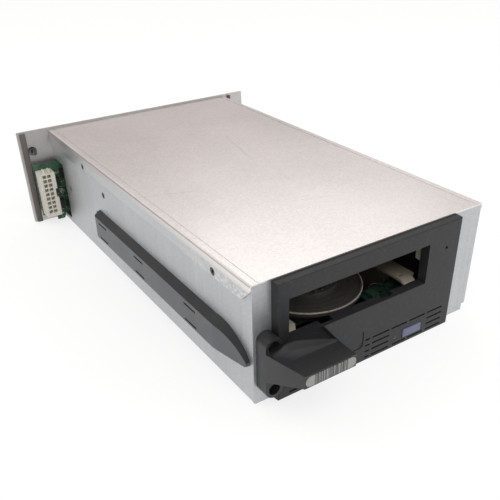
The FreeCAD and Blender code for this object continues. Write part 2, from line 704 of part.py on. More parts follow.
CONVERTER_LOW = 8.0
CONVERTER_FRONT = DRIVE_REAR + S.converter_gap
CONVERTER_REAR = REAR - S.converter_spare
CONVERTER_SCREWS = [(x, y) for x in (-80, 4) for y in (CONVERTER_FRONT + 4, CONVERTER_REAR - 4)]
BOARD_SCREWS = [(-92.6, 28.3), (-60.0, 50.0), (0.0, 50.0), (0.0, 17.0)]


def build_interface():
    """Interface board on standoffs, with the power connector on its left ear."""
    rear_face = REAR - S.board_gap
    face = rear_face - S.board_wall
    board = new_body("interface_board")
    pad(board, "XZ", face, rear_face, outline(
        (-S.board_left, S.board_low + 2), (-101.5, S.board_low + 2), (-101.5, 0.6), (-95.0, 0.6),
        (-92.2, S.board_low), (S.board_right, S.board_low), (S.board_right, S.board_high),
        (-S.board_left, S.board_high)))
    pocket(board, "XZ", face - 1, rear_face + 1, *[disc(x, z, S.screw_radius) for x, z in BOARD_SCREWS])
    keep("interface_board", board)
    spacers = []
    for i, (x, z) in enumerate(BOARD_SCREWS):
        spacer = new_body(f"board_standoff_{i}", x, rear_face, z, TO_REAR)
        pad(spacer, "XY", 0, S.board_gap, socket_outline(3.0), disc(0, 0, S.screw_radius))
        spacers.append(spacer)
    screws = [pan_screw(f"board_screw_{i}", x, face, z, TO_FRONT, S.board_wall + S.board_gap + S.plate_wall)
              for i, (x, z) in enumerate(BOARD_SCREWS)]
    for i, (x, y) in enumerate(CONVERTER_SCREWS):
        spacer = new_body(f"converter_standoff_{i}", x, y, S.sheet_wall)
        pad(spacer, "XY", 0, CONVERTER_LOW - S.sheet_wall, socket_outline(3.0), disc(0, 0, S.screw_radius))
        spacers.append(spacer)
        screws.append(pan_screw(f"converter_screw_{i}", x, y, CONVERTER_LOW + S.board_wall, UPRIGHT, S.board_wall + 6))
    group("board_standoffs", spacers)
    group("board_screws", screws)

    housing = new_body("power_connector")
    x, z = S.connector_x, S.connector_z
    wide, cells_half = S.connector_width / 2, S.pin_pitch * S.pin_rows / 2
    low, high = z - cells_half - 2.9, z + cells_half + 0.9
    mouth = face - S.connector_depth
    pad(housing, "XZ", mouth, face, outline(
        (x - wide, low), (x + wide, low), (x + wide, z - 4.2), (x + wide - 1.7, z - 4.2),
        (x + wide - 1.7, z + 4.2), (x + wide, z + 4.2), (x + wide, high), (x - wide, high)))
    pad(housing, "XZ", mouth + 1, mouth + 6, *[rect(x + i, x + i + 1.4, high - 0.5, high + 3.2)
                                               for i in (-3.0, 1.6)])
    rows = round(S.pin_rows.number)
    cells = [(x - 0.8 + i * S.pin_pitch / 2, z + (row - (rows - 1) / 2) * S.pin_pitch)
             for i in (-1, 1) for row in range(rows)]
    pocket(housing, "XZ", mouth - 1, mouth + 9, *[rect(a - 1.6, a + 1.6, b - 1.55, b + 1.55)
                                                  for a, b in cells])
    keep("power_connector", housing)
    contacts = new_body("connector_contacts")
    pad(contacts, "XZ", mouth + 2.4, mouth + 9, *[rect(a - 0.5, a + 0.5, b - 0.5, b + 0.5)
                                                  for a, b in cells])
    keep("connector_contacts", contacts)

    ports = new_body("data_ports")
    for height in PORT_HEIGHTS:
        pad(ports, "XZ", rear_face, REAR + S.plate_wall + 5, port_outline(height, 0))
        pocket(ports, "XZ", REAR - 1, REAR + S.plate_wall + 6, port_outline(height, -0.9))
        pad(ports, "XZ", REAR - 2, REAR + S.plate_wall + 3.4,
            rect(PORT_X - 17.5, PORT_X + 17.5, height - 1.5, height + 1.5))
    keep("data_ports", ports)


def build_fan():
    """Axial fan: square frame with four struts, and a seven-bladed rotor on its own axle."""
    x, z, half = S.fan_x, FAN_Z, S.fan_size / 2
    start = REAR - S.fan_depth
    frame = new_body("fan_frame", x, start, z, TO_REAR)
    block = pad(frame, "XY", 0, S.fan_depth, rect(-half, half, -half, half))
    dress(frame, "Fillet", block, lambda e: runs_along(e, "z"), 4.0)
    pocket(frame, "XY", -1, S.fan_depth + 1, disc(0, 0, S.fan_bore))
    pad(frame, "XY", 0, 2.4, disc(0, 0, S.fan_hub))
    pad(frame, "XY", 0, 2.4, rect(-S.fan_bore - 1, S.fan_bore + 1, -1.5, 1.5))
    pad(frame, "XY", 0, 2.4, rect(-1.5, 1.5, -S.fan_bore - 1, S.fan_bore + 1))
    pad(frame, "XY", 2.4, 9, disc(0, 0, 3.6))
    pocket(frame, "XY", 0.8, 10, disc(0, 0, S.screw_radius + S.running_fit))
    pocket(frame, "XY", -1, S.fan_depth + 1,
           *[disc(i * FAN_SCREW_PITCH / 2, j * FAN_SCREW_PITCH / 2, S.screw_radius)
             for i in (-1, 1) for j in (-1, 1)])
    keep("fan_frame", frame)
    group("fan_screws", [pan_screw(f"fan_screw_{i}", a, REAR + S.plate_wall, b, TO_REAR, 12)
                         for i, (a, b) in enumerate(fan_corners())])

    rotor = new_body("fan_rotor", x, start, z, TO_REAR)
    hub = S.fan_hub
    revolve(rotor, outline((0, 1.2), (S.screw_radius, 1.2), (S.screw_radius, 11.0), (5.5, 11.0),
                           (5.5, 3.0), (hub, 3.0), (hub, 17.0), (hub - 1.2, 18.0), (0, 18.0)))
    blade = loft(rotor, "YZ", (hub - 1.5, blade_section(4.6, 6.6)), (S.fan_blade_tip - 0.6, blade_section(6.2, 5.6)))
    ring = rotor.newObject("PartDesign::PolarPattern", "fan_blades")
    ring.Originals = [blade]
    ring.Axis = (rotor.Origin.OriginFeatures[[f.Role for f in rotor.Origin.OriginFeatures].index("Z_Axis")], [""])
    ring.Angle = 360
    ring.Occurrences = 7
    rotor.Tip = ring
    keep("fan_rotor", rotor)


def blade_section(across, along):
    """Thin slanted section of a blade, across and along its half widths."""
    middle, thick = 10.0, 0.7
    return outline((-across, middle - along), (thick - across, middle - along - thick),
                   (across, middle + along - thick), (across - thick, middle + along))


build_rear_plate()
build_thumbscrews()
build_interface()
build_fan()


# ---------------------------------------------------------------- bezel, button and light
VENTS = [(46.0, 60.3, (0, 1, 2, 3)), (-4.1, 10.9, (0, 1, 2, 3)), (-10.2, -6.1, (0, 1, 2, 3)),
         (29.3, 43.7, (3,)), (12.7, 27.1, (3,)), (28.9, 43.2, (0,)), (14.9, 27.0, (0,))]
NOTCHES = (-45.4, 4.3)
LIGHT = (16.4, 8.3)
RESET = (56.0, 64.1)
BEZEL_HALF = S.bezel_width / 2
WALL_BACK = BEZEL_FACE + S.bezel_wall       # inner face of the bezel's front wall


def window(spare=0):
    return rect(S.window_left - spare, S.window_right + spare, S.window_low - spare, WINDOW_HIGH + spare)


def build_bezel():
    bezel = new_body("front_bezel")
    left, right = S.drive_offset - BEZEL_HALF, S.drive_offset + BEZEL_HALF
    low, high, wall = S.bezel_low, BEZEL_HIGH, S.bezel_wall
    block = loft(bezel, "XZ", (FRONT, rect(left, right, low, high)),
                 (BEZEL_FACE, rect(left + S.bezel_taper, right - S.bezel_taper, low, high)))
    dress(bezel, "Fillet", block,
          lambda e: abs(e.CenterOfMass.y - BEZEL_FACE.number) < 0.01, 0.7)
    pocket(bezel, "XZ", WALL_BACK, FRONT + 1, rect(left + wall, right - wall, low + wall, high - wall),
           window(S.sill_wall))
    pad(bezel, "XZ", FRONT - 1, FRONT + S.sill_reach, window(S.sill_wall), window())
    pocket(bezel, "XZ", BEZEL_FACE - 1, FRONT + S.sill_reach + 1, window())
    lip = FRONT + S.sill_reach
    pocket(bezel, "XZ", lip - S.notch_depth, lip + 1,
           *[rect(x, x + S.notch_width, S.window_low - S.sill_wall - 1, S.window_low + 1) for x in NOTCHES])
    half = S.vent_height / 2
    pocket(bezel, "XZ", BEZEL_FACE - 1, WALL_BACK + 1,
           *[rect(a, b, S.vent_low + row * S.vent_pitch - half, S.vent_low + row * S.vent_pitch + half)
             for a, b, rows in VENTS for row in rows])
    gap = S.running_gap
    pocket(bezel, "XZ", BEZEL_FACE - 1, WALL_BACK + 1,
           rect(S.button_left - gap, S.button_right + gap, S.button_low - gap, S.button_high + gap),
           disc(*LIGHT, S.light_radius), disc(*RESET, S.reset_radius),
           rect(S.window_left + 0.7, S.window_left + 7.1, S.vent_low - 0.2, S.vent_low + 1.2))
    wide = S.groove_width
    pocket(bezel, "XZ", BEZEL_FACE - 1, BEZEL_FACE + S.groove_depth, outline(
        (-12.0, 24.4), (-12.0 - wide, 24.4), (-12.0 - wide, 14.8), ("arc", -13.46, 13.46),
        (-14.8, 12.0 + wide), (-46.0, 12.0 + wide), (-46.0, 12.0), (-14.8, 12.0), ("arc", -12.82, 12.82),
        (-12.0, 14.8)))
    return keep("front_bezel", bezel)


def build_button():
    button = new_body("eject_button")
    cap = pad(button, "XZ", BEZEL_FACE - S.button_proud, WALL_BACK + S.running_gap,
              rect(S.button_left, S.button_right, S.button_low, S.button_high))
    dress(button, "Fillet", cap,
          lambda e: abs(e.CenterOfMass.y - (BEZEL_FACE - S.button_proud).number) < 0.01, 0.6)
    flange = WALL_BACK + S.running_gap
    pad(button, "XZ", flange, flange + 1,
        rect(S.button_left - 1.3, S.button_right + 1.3, S.button_low - 1.3, S.button_high + 1.3))
    x, z = button_middle()
    pad(button, "XZ", flange + 0.5, PLUNGER - S.button_travel - S.running_gap, rect(x - 1.6, x + 1.6, z - 1.4, z + 1.8))
    keep("eject_button", button)

    face = FRONT + S.front_board_set
    board = new_body("front_board")
    pad(board, "XZ", face, face + S.board_wall, rect(-12, 56, FLOOR_TOP + 0.4, 21))
    keep("front_board", board)
    switch = new_body("eject_switch")
    pad(switch, "XZ", PLUNGER + 1, face, rect(x - 3, x + 3, z - 1.9, z + 4.1))
    pad(switch, "XZ", PLUNGER, PLUNGER + 1.5, disc(x, z + 0.2, 1.4))
    keep("eject_switch", switch)
    light = new_body("status_light", LIGHT[0], face, LIGHT[1], TO_FRONT)
    reach = S.front_board_set + S.bezel_depth
    revolve(light, outline((0, 0), (2.0, 0), (2.0, 1.6), (S.light_radius, 1.6), (S.light_radius, reach),
                           (0, reach + 0.4)))
    keep("status_light", light)


def button_middle():
    return (S.button_left + S.button_right) / 2, (S.button_low + S.button_high) / 2


PLUNGER = FRONT + S.front_board_set - 4.5     # front of the switch plunger

build_bezel()
build_button()


# ---------------------------------------------------------------- target bracket
BOSS_X = S.bracket_boss - S.bracket_left
PLATE_FACE = FRONT - S.bracket_plate
SHELF_FACE = FRONT - S.shelf_reach
LEAF_TOE = PLATE_FACE - 12.9


LEAF = [(3.0, 10.0, 0.3), (6.0, 9.6, 1.6), (10.1, 8.4, 4.7), (14.6, 6.1, 7.1), (20.6, 4.6, 6.6),
        (26.6, 3.1, 5.3), (34.0, 1.8, 3.2), (41.0, 0.7, 1.0)]   # from the left side: crest back, crest up


def leaf_section(crest_back, rise):
    """Section of the curved wall from its toe: a hollow front face that rises to a thin crest."""
    root, crest_wall = -0.4, 1.1
    return outline((0, root), (crest_back + crest_wall, root), (crest_back + crest_wall, rise),
                   (crest_back, rise), (crest_back * 0.72, rise * 0.42), (crest_back * 0.4, rise * 0.12), (0, 0))


def build_bracket():
    """Moulded target bracket: screwed plate, hollow shelf and a leaf-shaped curved wall."""
    bracket = new_body("target_bracket")
    left, radius, wall = -S.bracket_left, S.bracket_boss, S.bracket_wall
    low, high = S.bracket_screw_low, S.bracket_screw_high
    pad(bracket, "XZ", PLATE_FACE, FRONT, outline(
        (left, low), ("arc", BOSS_X, low - radius), (BOSS_X + radius, low), (BOSS_X + radius, high),
        ("arc", BOSS_X, high + radius), (left, high)))
    flare = S.shelf_flare - S.shelf_right
    pad(bracket, "YZ", left, flare, outline(
        (BEZEL_FACE, S.web_low), (PLATE_FACE, S.web_low), (SHELF_FACE, S.shelf_top - S.target_height),
        (SHELF_FACE, S.shelf_top), (BEZEL_FACE, S.shelf_top)))
    pocket(bracket, "XY", 0, S.shelf_top + 1, outline(
        (left - 1, PLATE_FACE), (left, PLATE_FACE), (-S.shelf_left, SHELF_FACE),
        (-S.shelf_left, SHELF_FACE - 1), (left - 1, SHELF_FACE - 1)),
        outline((-S.shelf_right, SHELF_FACE - 1), (flare + 1, SHELF_FACE - 1), (flare + 1, BEZEL_FACE),
                (flare, BEZEL_FACE), (-S.shelf_right, SHELF_FACE + 13)))
    pocket(bracket, "XY", S.shelf_top - S.shelf_dip, S.shelf_top + 1, outline(
        (BOSS_X + radius, BEZEL_FACE + 1), (BOSS_X + radius, LEAF_TOE + 9.6), (left + 26.6, LEAF_TOE + 4.0),
        (left + 41.0, LEAF_TOE + 1.6), (flare - 2.6, LEAF_TOE + 1.6), (flare - 1.0, BEZEL_FACE + 1)))
    pocket(bracket, "XY", 0, S.shelf_top - S.shelf_dip - wall, outline(
        (-S.shelf_right - wall, BEZEL_FACE + 1), (-S.shelf_right - wall, SHELF_FACE + wall),
        (-S.shelf_left + wall, SHELF_FACE + wall), (left + wall + 1, PLATE_FACE - wall),
        (BOSS_X + radius + 1.5, PLATE_FACE - wall), (BOSS_X + radius + 1.5, BEZEL_FACE + 1)))
    share = (S.leaf_high - S.shelf_top) / 7.9
    loft(bracket, "YZ", *[(left + along, leaf_section(back, share * rise)) for along, back, rise in LEAF],
         origin=(LEAF_TOE, S.shelf_top))
    pocket(bracket, "XY", 0, S.cover_top, rect(S.drive_offset - BEZEL_HALF - 0.1, flare + 1, BEZEL_FACE, FRONT + 1))
    pocket(bracket, "XZ", PLATE_FACE - 0.1, FRONT - 4,
           *[disc(BOSS_X, z, S.bracket_recess) for z in (low, high)])
    pocket(bracket, "XZ", PLATE_FACE - 0.1, FRONT + 1,
           *[disc(BOSS_X, z, S.screw_radius + 0.2) for z in (low, high)])
    keep("target_bracket", bracket)
    group("bracket_screws", [pan_screw(f"bracket_screw_{i}", BOSS_X, FRONT - 4, z, TO_FRONT, 4 + S.sheet_wall + 1)
                             for i, z in enumerate((low, high))])

    label = new_body("target_label")
    middle, half, end = -(S.shelf_left + S.shelf_right) / 2, S.label_length / 2 - 0.4, S.label_height / 2
    z = S.shelf_top - S.target_height / 2
    pad(label, "XZ", SHELF_FACE - S.label_wall, SHELF_FACE, outline(
        (middle - half + end, z - end), (middle + half - end, z - end), ("arc", middle + half, z),
        (middle + half - end, z + end), (middle - half + end, z + end), ("arc", middle - half, z)))
    keep("target_label", label)


build_bracket()


# ---------------------------------------------------------------- die-cast chassis, lid and loader board
LEFT_IN = DRIVE_LEFT + S.chassis_wall
RIGHT_IN = DRIVE_RIGHT - S.chassis_wall
LOADER_LOW = 27.0
LOADER_POSTS = [(x, FRONT + y) for x in (24, 41) for y in (15, 24)]
REAR_WALL_TOP = 60.0


def build_chassis():
    chassis = new_body("drive_chassis")
    tub = pad(chassis, "XZ", FRONT, DRIVE_REAR, outline(
        (DRIVE_LEFT, FLOOR_LOW), (DRIVE_RIGHT, FLOOR_LOW), (DRIVE_RIGHT, CHASSIS_TOP),
        (RIGHT_IN, CHASSIS_TOP), (RIGHT_IN, FLOOR_TOP), (LEFT_IN, FLOOR_TOP),
        (LEFT_IN, CHASSIS_TOP), (DRIVE_LEFT, CHASSIS_TOP)))
    dress(chassis, "Fillet", tub, lambda e: runs_along(e, "y", near={"z": FLOOR_LOW}), 1.5)
    pad(chassis, "XZ", DRIVE_REAR - S.chassis_wall, DRIVE_REAR,
        rect(DRIVE_LEFT + 1, DRIVE_RIGHT - 1, FLOOR_TOP - 1, REAR_WALL_TOP))
    pocket(chassis, "YZ", DRIVE_LEFT - 1, DRIVE_RIGHT + 1,
           *[rect(DRIVE_REAR - y - 15, DRIVE_REAR - y + 15, 50, 66) for y in (106, 68, 30)])
    pocket(chassis, "XZ", DRIVE_REAR - S.chassis_wall - 1, DRIVE_REAR + 1,
           *[rect(S.drive_offset + x - 12, S.drive_offset + x + 12, 24, 44) for x in (-48, -16, 16, 48)])
    pad(chassis, "XY", S.sheet_wall, FLOOR_LOW + 1, *[disc(x, y, 5) for x, y in CHASSIS_SCREWS])
    pocket(chassis, "XY", 0, FLOOR_TOP - 0.6, *[disc(x, y, S.screw_radius) for x, y in CHASSIS_SCREWS])
    behind = FRONT + S.front_board_set + S.board_wall
    pad(chassis, "XZ", behind, behind + 3, rect(-9, -5, FLOOR_TOP - 1, 20), rect(49, 53, FLOOR_TOP - 1, 20))
    pad(chassis, "XY", FLOOR_TOP - 1, LOADER_LOW, *[disc(x, y, 2.5) for x, y in LOADER_POSTS])
    pad(chassis, "XY", LOADER_LOW - 1, LOADER_LOW + S.board_wall + 0.8,
        *[disc(x, y, 1.2) for x, y in LOADER_POSTS])
    keep("drive_chassis", chassis)
    group("chassis_screws", [flat_screw(f"chassis_screw_{i}", x, y, 0, DOWN, S.sheet_wall, 5.4)
                             for i, (x, y) in enumerate(CHASSIS_SCREWS)])

    lid = new_body("drive_lid")
    pad(lid, "XY", CHASSIS_TOP, CHASSIS_TOP + S.lid_wall,
        rect(DRIVE_LEFT, DRIVE_RIGHT, FRONT + 0.4, DRIVE_REAR))
    pad(lid, "XY", CHASSIS_TOP - 2.5, CHASSIS_TOP + 0.4,
        *[rect(x, x + 1.2, FRONT + 8, DRIVE_REAR - 8) for x in (LEFT_IN + 0.3, RIGHT_IN - 1.5)],
        *[rect(LEFT_IN + 6, RIGHT_IN - 6, FRONT + y, FRONT + y + 1.2) for y in (60, 120, 180)])
    keep("drive_lid", lid)

    board = new_body("loader_board")
    pad(board, "XY", LOADER_LOW, LOADER_LOW + S.board_wall, rect(10, 45, FRONT + 5, FRONT + 27))
    pad(board, "XY", LOADER_LOW + S.board_wall - 0.4, LOADER_LOW + S.board_wall + 3,
        rect(13, 20, FRONT + 13, FRONT + 23), rect(28, 36, FRONT + 17, FRONT + 22))
    pocket(board, "XY", LOADER_LOW - 1, LOADER_LOW + S.board_wall + 1,
           *[disc(x, y, 1.2) for x, y in LOADER_POSTS])
    keep("loader_board", board)


# ---------------------------------------------------------------- cartridge guides
def build_guides():
    """Ledges that carry the cartridge, each on a wall that stands on the chassis floor. The right
    one has a frame under the lid, with a finger down beside the window."""
    low, top, rear, wall = S.guide_top - S.guide_wall, S.guide_top, FRONT + S.guide_rear, S.guide_wall
    left = new_body("left_guide")
    pad(left, "XY", low, top, outline((LEFT_IN, FRONT + 1.4), (-61.2, FRONT + 1.4), (-57.7, FRONT + 6.5),
                                      (-57.7, rear), (LEFT_IN, rear)))
    pad(left, "XY", FLOOR_TOP, low + 1, rect(LEFT_IN, LEFT_IN + wall, FRONT + 12, rear))
    for y in (24, 62, 100):
        pad(left, "XZ", FRONT + y, FRONT + y + 2, outline(
            (LEFT_IN + 1, 22), (LEFT_IN + wall, 22), (-60.0, low + 1), (LEFT_IN + 1, low + 1)))
    keep("left_guide", left)

    right = new_body("right_guide")
    inner, outer = 42.5, 42.5 + wall
    pad(right, "XY", low, top, outline(
        (28.0, FRONT + 1.7), (38.3, FRONT + 1.7), (41.8, FRONT + 8.6), (outer, FRONT + 8.6), (outer, rear),
        (30.0, rear), (30.0, FRONT + 28.8), (30.7, FRONT + 8.1)))
    strip = CHASSIS_TOP - 8
    pad(right, "YZ", inner, outer, outline(
        (rear - 8, low), (rear, low), (rear, strip + 4.5), (FRONT + 1.5, strip + 4.5),
        (FRONT + 1.5, strip - 17.4), (FRONT + 7.5, strip - 17.4), (FRONT + 7.5, strip), (rear - 8, strip)))
    pad(right, "XY", FLOOR_TOP, low + 1, rect(inner, outer, FRONT + 30, rear))
    for y in (32, 66, 100):
        pad(right, "XZ", FRONT + y, FRONT + y + 2, outline(
            (outer - 1, 22), (inner, 22), (32.0, low + 1), (outer - 1, low + 1)))
    pocket(right, "XY", low - 1, top + 1, disc(35, FRONT + 12.5, 1.5))
    keep("right_guide", right)


build_chassis()
build_guides()


# ---------------------------------------------------------------- supply spindle and its lift
LIFT_PINS = [(S.supply_x + across * 30, FRONT + y) for across in (-1, 1) for y in (34, 78)]
LIFT_FEET = (46, 82)
CAM_LOW = FLOOR_TOP + 0.4
CAM_SLOPE = S.lift_travel / S.cam_travel
RAMP_START = CAM_LOW + 3
FOOT_LEAD = 4.0                             # from the foot of a ramp to the lift plate's foot at rest


def build_lift():
    """The plate rides up four pins when the cam's ramps slide forward under its feet."""
    pin, fit = S.guide_shaft_radius, S.running_fit
    pins = []
    for i, (x, y) in enumerate(LIFT_PINS):
        body = new_body(f"lift_pin_{i}", x, y, FLOOR_TOP)
        revolve(body, outline((0, 0), (pin, 0), (pin, 23.2), (pin - 0.5, 23.8), (0, 23.8)))
        pins.append(body)
    group("lift_pins", pins)

    low, high = S.lift_plate_low, S.lift_plate_low + S.lift_plate_wall
    plate = new_body("lift_plate")
    pad(plate, "XY", low, high, rect(S.supply_x - 35, S.supply_x + 35, FRONT + 29, FRONT + 86))
    pad(plate, "XY", low - 3, low + 1, *[disc(x, y, 4) for x, y in LIFT_PINS])
    foot = RAMP_START + FOOT_LEAD * CAM_SLOPE + 0.4
    for side in (-1, 1):
        x = S.supply_x + side * 22
        pad(plate, "YZ", x - 2.5, x + 2.5, *[outline(
            (FRONT + y - 2, foot - 2 * CAM_SLOPE), (FRONT + y + 2, foot + 2 * CAM_SLOPE),
            (FRONT + y + 2, low + 1), (FRONT + y - 2, low + 1)) for y in LIFT_FEET])
    pocket(plate, "XY", low - 4, high + 1, *[disc(x, y, pin + fit) for x, y in LIFT_PINS])
    keep("lift_plate", plate)

    cam = new_body("lift_cam")
    pad(cam, "XY", CAM_LOW, CAM_LOW + 2, rect(S.supply_x - 35, S.supply_x + 35, FRONT + 36, FRONT + 112))
    length = FOOT_LEAD * 2 + S.cam_travel
    for side in (-1, 1):
        x = S.supply_x + side * 22
        pad(cam, "YZ", x - 2.5, x + 2.5, *[outline(
            (FRONT + y - FOOT_LEAD, CAM_LOW + 1), (FRONT + y - FOOT_LEAD + length, CAM_LOW + 1),
            (FRONT + y - FOOT_LEAD + length, RAMP_START + length * CAM_SLOPE),
            (FRONT + y - FOOT_LEAD, RAMP_START)) for y in LIFT_FEET])
    spare = pin + S.running_gap
    pocket(cam, "XY", CAM_LOW - 1, CAM_LOW + 3,
           *[rect(S.supply_x + side * 30 - spare, S.supply_x + side * 30 + spare, FRONT + a, FRONT + b + S.cam_travel + spare)
             for side in (-1, 1) for a, b in ((35, 34), (75.65, 78))],
           rect(S.supply_x - 13, S.supply_x + 13, FRONT + 46, FRONT + 102))
    keep("lift_cam", cam)


def build_supply():
    shaft, fit, motor_radius = S.shaft_radius, S.running_fit, S.motor_radius
    base = S.lift_plate_low + S.lift_plate_wall
    motor = new_body("supply_motor", S.supply_x, FRONT + S.supply_y, base)
    revolve(motor, outline((0, 0), (motor_radius, 0), (motor_radius, 8.6), (motor_radius - 1, 9.6),
                           (shaft + fit, 9.6), (shaft + fit, 1.0), (0, 1.0)))
    keep("supply_motor", motor)
    hub = new_body("supply_hub", S.supply_x, FRONT + S.supply_y)
    disc_low, disc_top, boss = S.disc_top - S.disc_wall, S.disc_top, S.disc_top + S.hub_rise
    rim = S.supply_disc - 1.8
    revolve(hub, outline(
        (0, base + 1.4), (shaft, base + 1.4), (shaft, disc_low), (S.supply_disc, disc_low),
        (S.supply_disc, disc_top), (rim, disc_top), (rim, disc_top - 0.6), (S.supply_hub, disc_top - 0.6),
        (S.supply_hub, boss - 0.4), (S.supply_hub - 0.4, boss), (13.0, boss), (13.0, boss - 1.2),
        (0, boss - 1.2)))
    tooth = pad(hub, "XY", boss - 0.2, boss + 1.2, outline((15, -0.8), (20, -1.2), (20, 1.2), (15, 0.8)))
    ring = hub.newObject("PartDesign::PolarPattern", "supply_teeth")
    ring.Originals = [tooth]
    ring.Axis = (tooth.Profile[0], ["N_Axis"])
    ring.Angle = 360
    ring.Occurrences = 24
    hub.Tip = ring
    keep("supply_hub", hub)


build_lift()
build_supply()


# ---------------------------------------------------------------- take-up reel
def build_takeup():
    x, y, shaft, wall = S.takeup_x, DRIVE_REAR - S.takeup_set, S.shaft_radius, S.reel_flange
    low = S.reel_low
    tape_low, tape_high = low + wall, low + wall + S.tape_width + 0.6
    motor = new_body("takeup_motor", x, y, FLOOR_TOP)
    rise = low - 0.6 - FLOOR_TOP
    radius, bore = S.motor_radius, shaft + S.running_fit
    revolve(motor, outline((0, 0), (radius, 0), (radius, rise - 1), (radius - 1, rise), (bore, rise),
                           (bore, 1.4), (0, 1.4)))
    keep("takeup_motor", motor)
    hub = new_body("takeup_hub", x, y)
    revolve(hub, outline((0, FLOOR_TOP + 1.8), (shaft, FLOOR_TOP + 1.8), (shaft, tape_low), (S.reel_hub, tape_low),
                         (S.reel_hub, tape_high), (8.0, tape_high), (8.0, tape_high + wall),
                         (0, tape_high + wall)))
    keep("takeup_hub", hub)
    lower = new_body("takeup_lower_flange", x, y)
    revolve(lower, outline((shaft, low), (S.reel_radius, low), (S.reel_radius, tape_low), (shaft, tape_low)))
    keep("takeup_lower_flange", lower)
    upper = new_body("takeup_upper_flange", x, y)
    revolve(upper, outline((8.0, tape_high), (S.reel_radius, tape_high), (S.reel_radius, tape_high + wall),
                           (8.0, tape_high + wall)))
    hole = pocket(upper, "XY", tape_high - 1, tape_high + wall + 1,
                  outline((26, -13), (37, -20), (40, 0), (37, 20), (26, 13)))
    ring = upper.newObject("PartDesign::PolarPattern", "flange_windows")
    ring.Originals = [hole]
    ring.Axis = (hole.Profile[0], ["N_Axis"])
    ring.Angle = 360
    ring.Occurrences = 3
    upper.Tip = ring
    keep("takeup_upper_flange", upper)
    return tape_low, tape_high


TAPE_LOW, TAPE_HIGH = build_takeup()


# ---------------------------------------------------------------- tape path
PATH_LOW, PATH_TOP = S.path_plate_low, S.path_plate_low + S.path_plate_wall
PATH_FRONT = FRONT + S.guide_rear + 6
PATH_REAR = DRIVE_REAR - 12


def station(along):
    """Place on the tape path, along it by so many of its 112 parts."""
    return PATH_FRONT + (PATH_REAR - PATH_FRONT) * along / 112


ROLLERS = [(-48.0, station(6)), (-64.5, station(20)), (-64.5, station(72)), (-50.0, station(103))]
HEAD_X = -69.5
HEAD_Y = station(46)
SCREW_FIT = 0.4                             # clearance holes round the leadscrew


def build_path():
    plate = new_body("path_plate")
    pad(plate, "XY", PATH_LOW, PATH_TOP, outline(*[(x, station(along)) for x, along in (
        (-76.0, 0), (-42.0, 0), (-42.0, 12), (-56.0, 28), (-58.0, 48), (-57.0, 84), (-42.0, 96),
        (-42.0, 112), (-76.0, 112))]))
    pad(plate, "XY", FLOOR_TOP, PATH_LOW + 1, *[disc(x, station(along), 4) for x, along in (
        (-70, 6), (-48, 7), (-70, 100), (-50, 104))])
    pocket(plate, "XY", PATH_LOW - 1, PATH_TOP + 1, disc(HEAD_X, HEAD_Y, S.screw_radius + SCREW_FIT))
    keep("path_plate", plate)
    pins, axle = [], S.screw_radius
    low, high = TAPE_LOW - 1.2, TAPE_HIGH + 1.2
    for i, (x, y) in enumerate(ROLLERS, start=1):
        pin = new_body(f"roller_pin_{i}", x, y)
        revolve(pin, outline((0, PATH_TOP), (3, PATH_TOP), (3, low - 0.4), (axle, low - 0.4), (axle, high + 0.4),
                             (2.5, high + 0.4), (2.5, high + 1.4), (0, high + 1.4)))
        pins.append(pin)
        roller = new_body(f"guide_roller_{i}", x, y)
        bore, rim, barrel = axle + S.running_fit, S.roller_flange, S.roller_radius
        revolve(roller, outline((bore, low), (rim, low), (rim, TAPE_LOW), (barrel, TAPE_LOW), (barrel, TAPE_HIGH),
                                (rim, TAPE_HIGH), (rim, high), (bore, high)))
        keep(f"guide_roller_{i}", roller)
    group("roller_pins", pins)


def build_head():
    """Read head on a carriage that a leadscrew moves up and down two shafts."""
    middle, shaft, fit = HEAD_Y, S.guide_shaft_radius, S.running_fit
    screw = S.screw_radius
    base_top, top_low, top_high = PATH_TOP + 2.5, 60.0, 63.0
    frame = new_body("head_frame")
    left, right = HEAD_X - 6.2, HEAD_X + 6.5
    pad(frame, "XZ", middle - 14.5, middle + 14.5, outline(
        (left, PATH_TOP), (right, PATH_TOP), (right, base_top), (left + 1.5, base_top), (left + 1.5, top_low),
        (right, top_low), (right, top_high), (left, top_high)))
    pocket(frame, "XY", PATH_TOP - 1, top_low + 1.9, disc(HEAD_X, middle, screw + SCREW_FIT))
    keep("head_frame", frame)
    rods = []
    for i, y in enumerate((middle - 8, middle + 8)):
        rod = new_body(f"head_shaft_{i}", HEAD_X, y)
        revolve(rod, outline((0, base_top), (shaft, base_top), (shaft, top_low), (0, top_low)))
        rods.append(rod)
    group("head_shafts", rods)

    carriage = new_body("head_carriage")
    low = base_top + 0.5
    face = HEAD_X + 4.0
    block = pad(carriage, "XY", low, low + 12, rect(HEAD_X - 4.3, face, middle - 12, middle + 12))
    dress(carriage, "Chamfer", block, lambda e: runs_along(e, "z"), 1.0)
    pocket(carriage, "XY", low - 1, low + 13, disc(HEAD_X, middle - 8, shaft + fit),
           disc(HEAD_X, middle + 8, shaft + fit), disc(HEAD_X, middle, screw + fit))
    keep("head_carriage", carriage)
    head = new_body("tape_head")
    pad(head, "XY", low + 1, low + 15, outline(
        (face, middle - 6), (face + 4.2, middle - 6), ("arc", face + 6.0, middle), (face + 4.2, middle + 6),
        (face, middle + 6)))
    keep("tape_head", head)

    motor = new_body("head_motor", HEAD_X, middle, FLOOR_TOP)
    rise = PATH_LOW - FLOOR_TOP
    revolve(motor, outline((0, 0), (6, 0), (6, rise), (screw + fit, rise), (screw + fit, rise - 5), (0, rise - 5)))
    keep("head_motor", motor)
    leadscrew = new_body("head_leadscrew", HEAD_X, middle)
    tip = top_low + 1.5
    revolve(leadscrew, outline((0, PATH_LOW - 4.5), (screw, PATH_LOW - 4.5), (screw, tip - 0.4), (screw - 0.4, tip),
                               (0, tip)))
    keep("head_leadscrew", leadscrew)


build_path()
build_head()


